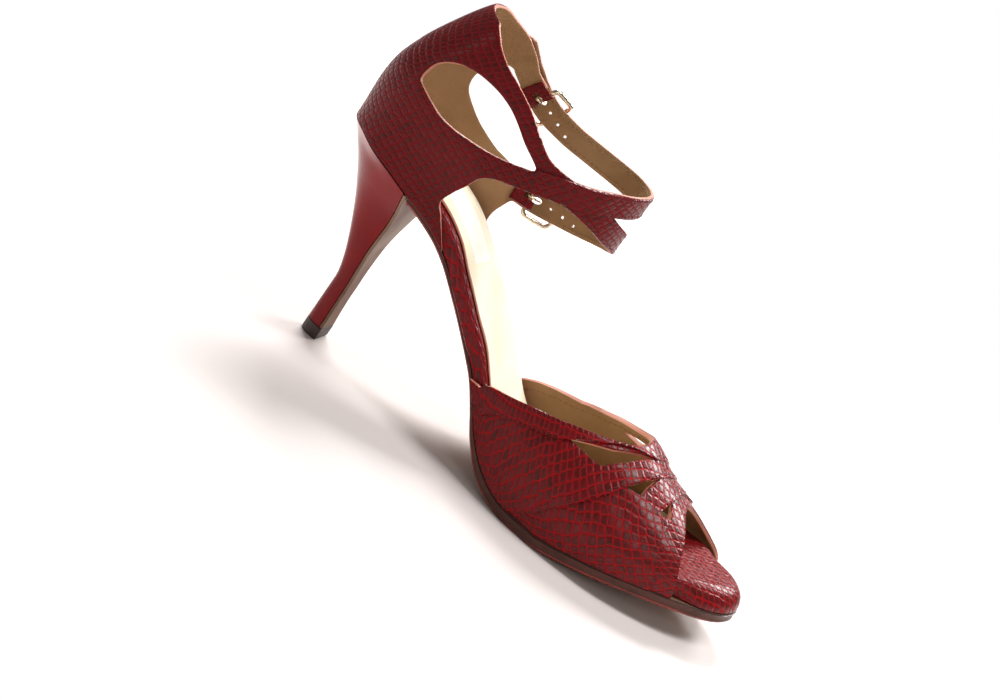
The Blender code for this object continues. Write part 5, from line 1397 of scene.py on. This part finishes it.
def heel_grid(levels=110, around=121):
    """The heel as a grid: level by level from the tip up to the seat, round the back from one front corner to the
    other. The sections of the solid are joined by smooth curves along the height, then evened out."""
    turn = np.linspace(-math.pi / 2, math.pi / 2, around)
    seat_x = BREAST * (1 - np.abs(np.cos(turn)))
    wide = np.where(turn < 0, -(half_width(seat_x, -1) - WELT), half_width(seat_x, 1) - WELT)
    seat_x = seat_x + WELT * np.abs(np.cos(turn))
    rows = [np.column_stack([seat_x, np.where(np.abs(turn) < 1e-9, 0.0, wide), sole_top(seat_x)])]
    for row, (rear, front, half, height) in enumerate(heel_levels()):
        x = front - (front - rear) * np.abs(np.cos(turn)) ** 0.9
        rows.append(np.column_stack([x, half * np.sin(turn), height + seat_tilt(x, row)]))
    grid = np.stack(rows[::-1])
    mean = grid[..., 2].mean(1)
    at = np.linspace(mean[0], mean[-1], levels)
    smooth = smooth_rows(mean, grid, at)
    for _ in range(8):
        smooth[1:-1] = (smooth[:-2] + 2 * smooth[1:-1] + smooth[2:]) / 4
    return smooth


def smooth_rows(x, rows, at):
    """The monotone cubic of flow, for whole rows at once."""
    flat = rows.reshape(len(rows), -1)
    return np.stack([flow(np.column_stack([x, column]), at) for column in flat.T], 1).reshape(len(at), *rows.shape[1:])


def make_heel():
    """Lacquered heel with a flat front, closed below and above."""
    grid = heel_grid()
    corner = 0.0006
    front = []
    for share in (0.0, 1.0):
        side = grid[:, 0] if share else grid[:, -1]
        front.append(side)
    left, right = grid[:, -1], grid[:, 0]
    across = np.linspace(0, 1, 9)[1:-1]
    flat_front = left[:, None] + (right - left)[:, None] * across[None, :, None]
    rings = np.concatenate([grid, flat_front], 1)
    rows, count = rings.shape[:2]
    low = rings[0].mean(0)[None]
    high = rings[-1].mean(0)[None]
    points = np.concatenate([rings.reshape(-1, 3), low, high])
    around = np.arange(count)
    after = (around + 1) % count
    bottom = np.stack([after, around, np.full(count, rows * count)], 1)
    top = (rows - 1) * count + np.stack([around, after, np.zeros(count, int)], 1)
    top[:, 2] = rows * count + 1
    piece = add_piece("heel_lacquered", points, [ring_faces(rows, count), bottom, top], [HEEL_LACQUER], sharp=50)
    stands_for(piece, "heel_lacquer", "heel")
    return grid


def make_breast_cover(grid):
    """The sole's leather on the flat front of the heel, its long edges softened."""
    front = grid[:, 0, 0]
    half = np.abs(grid[:, 0, 1])
    z = grid[:, 0, 2].copy()
    z[-1] = float(sole_top(BREAST + COVER + CLEARANCE))
    z[0] = LIFT + CLEARANCE
    profile = np.array([(0.0, -1.0, 0.0), (0.0, 1.0, 0.0), (0.5, 1.0, -0.05), (0.85, 1.0, -0.2), (1.0, 1.0, -0.7),
                        (1.0, 0.0, 0.0), (1.0, -1.0, 0.7), (0.85, -1.0, 0.2), (0.5, -1.0, 0.05)])
    x = (front + CLEARANCE)[:, None] + COVER * profile[:, 0]
    y = half[:, None] * profile[:, 1] + BEAD * profile[:, 2]
    rings = np.stack([x, y, np.broadcast_to(z[:, None], x.shape)], -1)
    rows, count = rings.shape[:2]
    ends = np.stack([np.arange(count)[::-1], (rows - 1) * count + np.arange(count)])
    piece = add_piece("breast_leather", rings.reshape(-1, 3), [ring_faces(rows, count), ends], [WALKED_SOLE])
    stands_for(piece, "sole_leather", "heel_breast_cover")


def make_lift():
    """Wearing piece under the heel, its lower edge slightly rounded."""
    turn = np.linspace(-math.pi / 2, math.pi / 2, 73)
    rings = []
    for inward, up in ((0.0005, 0.0), (0.0001, 0.04), (0.0, 0.12), (0.0, 0.96), (0.0002, 1.0)):
        front = HEEL_TIP_FRONT + COVER + CLEARANCE - inward
        rear = HEEL_TIP_REAR + inward
        x = front - (front - rear) * np.abs(np.cos(turn)) ** 0.9
        rings.append(level(np.column_stack([x, (HEEL_TIP_WIDTH / 2 - inward) * np.sin(turn)]), np.full(73, LIFT * up)))
    rings = np.stack(rings)
    ends = np.stack([np.arange(73)[::-1], 4 * 73 + np.arange(73)])
    piece = add_piece("wearing_piece", rings.reshape(-1, 3), [ring_faces(5, 73), ends], [LIFT_RUBBER])
    stands_for(piece, "top_lift_rubber", "top_lift")


def make_frame(name, buckle):
    """Wire frame with round corners; its rear side is the pivot bar."""
    half = STRAP_WIDTH / 2 + FRAME_GAP + FRAME_WIRE
    path = []
    for k, (r, side) in enumerate(((FRAME_LENGTH, 1), (0, 1), (0, -1), (FRAME_LENGTH, -1))):
        centre = np.array((r - FRAME_CORNER if r else FRAME_CORNER, side * (half - FRAME_CORNER)))
        turn = math.pi / 2 * (k + np.linspace(0, 1, 9))
        path.append(centre + FRAME_CORNER * np.column_stack([np.cos(turn), np.sin(turn)]))
    path = evenly(np.concatenate(path), 0.0003, closed=True)
    piece = wire("frame_" + name, buckle.place(path[:, 0], path[:, 1], buckle.bar_height(path[:, 0])), FRAME_WIRE,
                 BUCKLE_METAL, closed=True)
    stands_for(piece, "buckle_metal", "buckle_" + name)


def make_prong(name, buckle):
    """A wire wrapped round the pivot bar, up through the strap and over the front bar, thinner toward its tip."""
    ring = FRAME_WIRE + CLEARANCE + PRONG_WIRE
    turns = np.radians(np.linspace(25, 280, 25))
    path = np.column_stack([FRAME_LENGTH - ring * np.cos(turns), PIVOT_OUT - ring * np.sin(turns)])
    top = FRONT_OUT + FRAME_WIRE + CLEARANCE + PRONG_WIRE - PIVOT_OUT
    rise = PRONG_RISE[-1][1]
    reach = np.array([(r * FRAME_LENGTH, PIVOT_OUT + h / rise * top) for r, h in PRONG_RISE])
    path = rounded(np.concatenate([path, reach]), 3)
    radius = PRONG_WIRE * (1 - 0.25 * ease(np.linspace(-0.5, 1, len(path))))
    piece = wire("tongue_" + name, buckle.place(path[:, 0], np.zeros(len(path)), path[:, 1]), radius, BUCKLE_METAL)
    stands_for(piece, "buckle_metal", "prong_" + name)


def make_tab(name, buckle):
    """A strip folded round the pivot bar, with both ends on the band and a slot for the prong."""
    bend = FRAME_WIRE + CLEARANCE
    arc = math.pi * (bend + TAB_LEATHER / 2)
    half = STRAP_WIDTH / 2
    slot_reach = FRAME_WIRE + 2 * PRONG_WIRE + 2.5 * CLEARANCE
    slot_half = PRONG_WIRE + 2 * CLEARANCE
    outline = np.array([(-TAB_INSIDE, -half), (arc + TAB_LENGTH, -half), (arc + TAB_LENGTH, half), (-TAB_INSIDE, half)])
    slot = np.array([(-slot_reach, -slot_half), (arc + slot_reach, -slot_half), (arc + slot_reach, slot_half),
                     (-slot_reach, slot_half)])
    outline, slot = evenly(outline, 0.0005, closed=True), evenly(slot, 0.0004, closed=True)

    def keep(points):
        return inside(points, outline) & ~inside(points, slot)

    def place(points, out):
        along, across = points.T
        turn = np.clip(along / arc, 0, 1) * math.pi
        past = np.where(along < 0, -along, np.maximum(along - arc, 0))
        reach = bend + np.asarray(out)
        return buckle.place(FRAME_LENGTH + past - reach * np.sin(turn), across, PIVOT_OUT - reach * np.cos(turn))

    def height(points):
        return np.full(len(points), TAB_LEATHER)

    def chart(flat, faces):
        return lozenges(flat[faces], *QUARTER_CELL)

    piece = leather("tab_leather_" + name, [outline, slot], keep, place, height, [FINE_SNAKE, TAN_LINING, RED_CUT],
                    chart)
    stands_for(piece, "red_leather", "tab_" + name)

# The photograph's view, fitted to both shoes: place and turned axes of the camera
VIEW_PLACE = (0.05625, -0.59730, 0.20337)
VIEW_RIGHT = (0.785728, 0.250957, 0.565378)
VIEW_UP = (-0.607694, 0.142510, 0.781280)
VIEW_BACK = (0.115495, -0.957451, 0.264479)
LENS = 62.57


def make_camera():
    """A camera at the photograph's angle to the shoe, rolled with it."""
    data = bpy.data.cameras.new("photo_view")
    data.lens = LENS
    data.sensor_width = 36.0
    data.clip_start, data.clip_end = 0.01, 100.0
    camera = bpy.data.objects.new("photo_view", data)
    turned = Matrix((VIEW_RIGHT, VIEW_UP, VIEW_BACK)).transposed().to_4x4()
    camera.matrix_world = Matrix.Translation(VIEW_PLACE) @ turned
    bpy.context.scene.collection.objects.link(camera)
    bpy.context.scene.camera = camera


def add_light(name, place, aim, size, power, colour=(1, 1, 1)):
    """A soft box that faces a point."""
    data = bpy.data.lights.new(name, "AREA")
    data.shape = "RECTANGLE"
    data.size, data.size_y = size
    data.energy = power
    data.color = colour
    light = bpy.data.objects.new(name, data)
    back = (np.asarray(place, float) - aim)
    back /= np.linalg.norm(back)
    side = np.cross((0.0, 0.0, 1.0) if abs(back[2]) < 0.95 else (0.0, 1.0, 0.0), back)
    side /= np.linalg.norm(side)
    up = np.cross(back, side)
    light.matrix_world = Matrix.Translation(place) @ Matrix((side, up, back)).transposed().to_4x4()
    bpy.context.scene.collection.objects.link(light)


def make_stage():
    """Pale floor that fades to plain white far from the shoe, white surroundings and soft boxes above and beside."""
    across = np.array(((-1, -1), (1, -1), (1, 1), (-1, 1))) * 12.0
    mesh = bpy.data.meshes.new("floor")
    mesh.from_pydata(np.column_stack([across, np.full(4, -0.00002)]).tolist(), [], [(0, 1, 2, 3)])
    pale = finish("pale_floor", colour=FLOOR_COLOUR, roughness=0.75, specular=0.2)
    nodes = Nodes(pale.node_tree)
    shader = pale.node_tree.nodes["Principled BSDF"]
    far = nodes.add("VectorMath", {0: nodes.add("TexCoord").outputs["Object"]}, operation="LENGTH").outputs["Value"]
    fade = nodes.span(far, FLOOR_FADE[0], FLOOR_FADE[1])
    nodes.feed(shader.inputs["Base Color"], nodes.mix(fade, FLOOR_COLOUR, (0, 0, 0, 1)))
    nodes.feed(shader.inputs["Emission Color"], nodes.mix(fade, (0, 0, 0, 1), (1, 1, 1, 1)))
    shader.inputs["Emission Strength"].default_value = 1.0
    mesh.materials.append(pale)
    floor = bpy.data.objects.new("floor", mesh)
    bpy.context.scene.collection.objects.link(floor)
    world = bpy.data.worlds.new("studio")
    world.use_nodes = True
    nodes = Nodes(world.node_tree)
    seen = nodes.add("LightPath").outputs["Is Camera Ray"]
    strength = nodes.add("Mix", {0: seen, 2: WORLD_LIGHT, 3: 1.0}, data_type="FLOAT").outputs[0]
    world.node_tree.nodes["Background"].inputs[0].default_value = (1.0, 1.0, 1.0, 1)
    nodes.feed(world.node_tree.nodes["Background"].inputs[1], strength)
    bpy.context.scene.world = world
    centre = np.array((0.0, 0.0, 0.05))
    for name, place, size, power in SOFT_BOXES:
        add_light(name, place, centre, size, power)
    bpy.context.scene.view_settings.view_transform = "Standard"


# Distances from the shoe between which the floor turns plain white
FLOOR_FADE = (0.35, 1.1)
FLOOR_COLOUR = (0.86, 0.79, 0.76, 1)
# Soft boxes: name, place, width and height, power
SOFT_BOXES = (
    ("key_behind", (-0.28, 0.58, 0.82), (0.42, 0.32), 11.0),
    ("behind_right", (0.32, 0.78, 0.55), (0.36, 0.28), 5.5),
    ("above_right", (0.46, 0.03, 0.88), (0.30, 0.26), 4.0),
    ("front", (0.45, -0.85, 0.55), (0.50, 0.40), 1.5),
    ("left", (-0.85, -0.45, 0.35), (0.22, 0.50), 0.8),
    ("above", (0.20, -0.10, 0.90), (0.25, 0.20), 2.0),
)
WORLD_LIGHT = 0.14


def main():
    make_outsole()
    make_insole()
    make_sock()
    make_breast_cover(make_heel())
    make_lift()
    make_vamp()
    quarter = Quarter()
    buckles = [Buckle(quarter, UPPER_STRAP, UPPER_BAR), Buckle(quarter, LOWER_STRAP, LOWER_BAR)]
    make_quarter(quarter, buckles)
    for name, buckle in zip(("upper", "lower"), buckles):
        make_frame(name, buckle)
        make_prong(name, buckle)
        make_tab(name, buckle)
    make_camera()
    make_stage()


main()
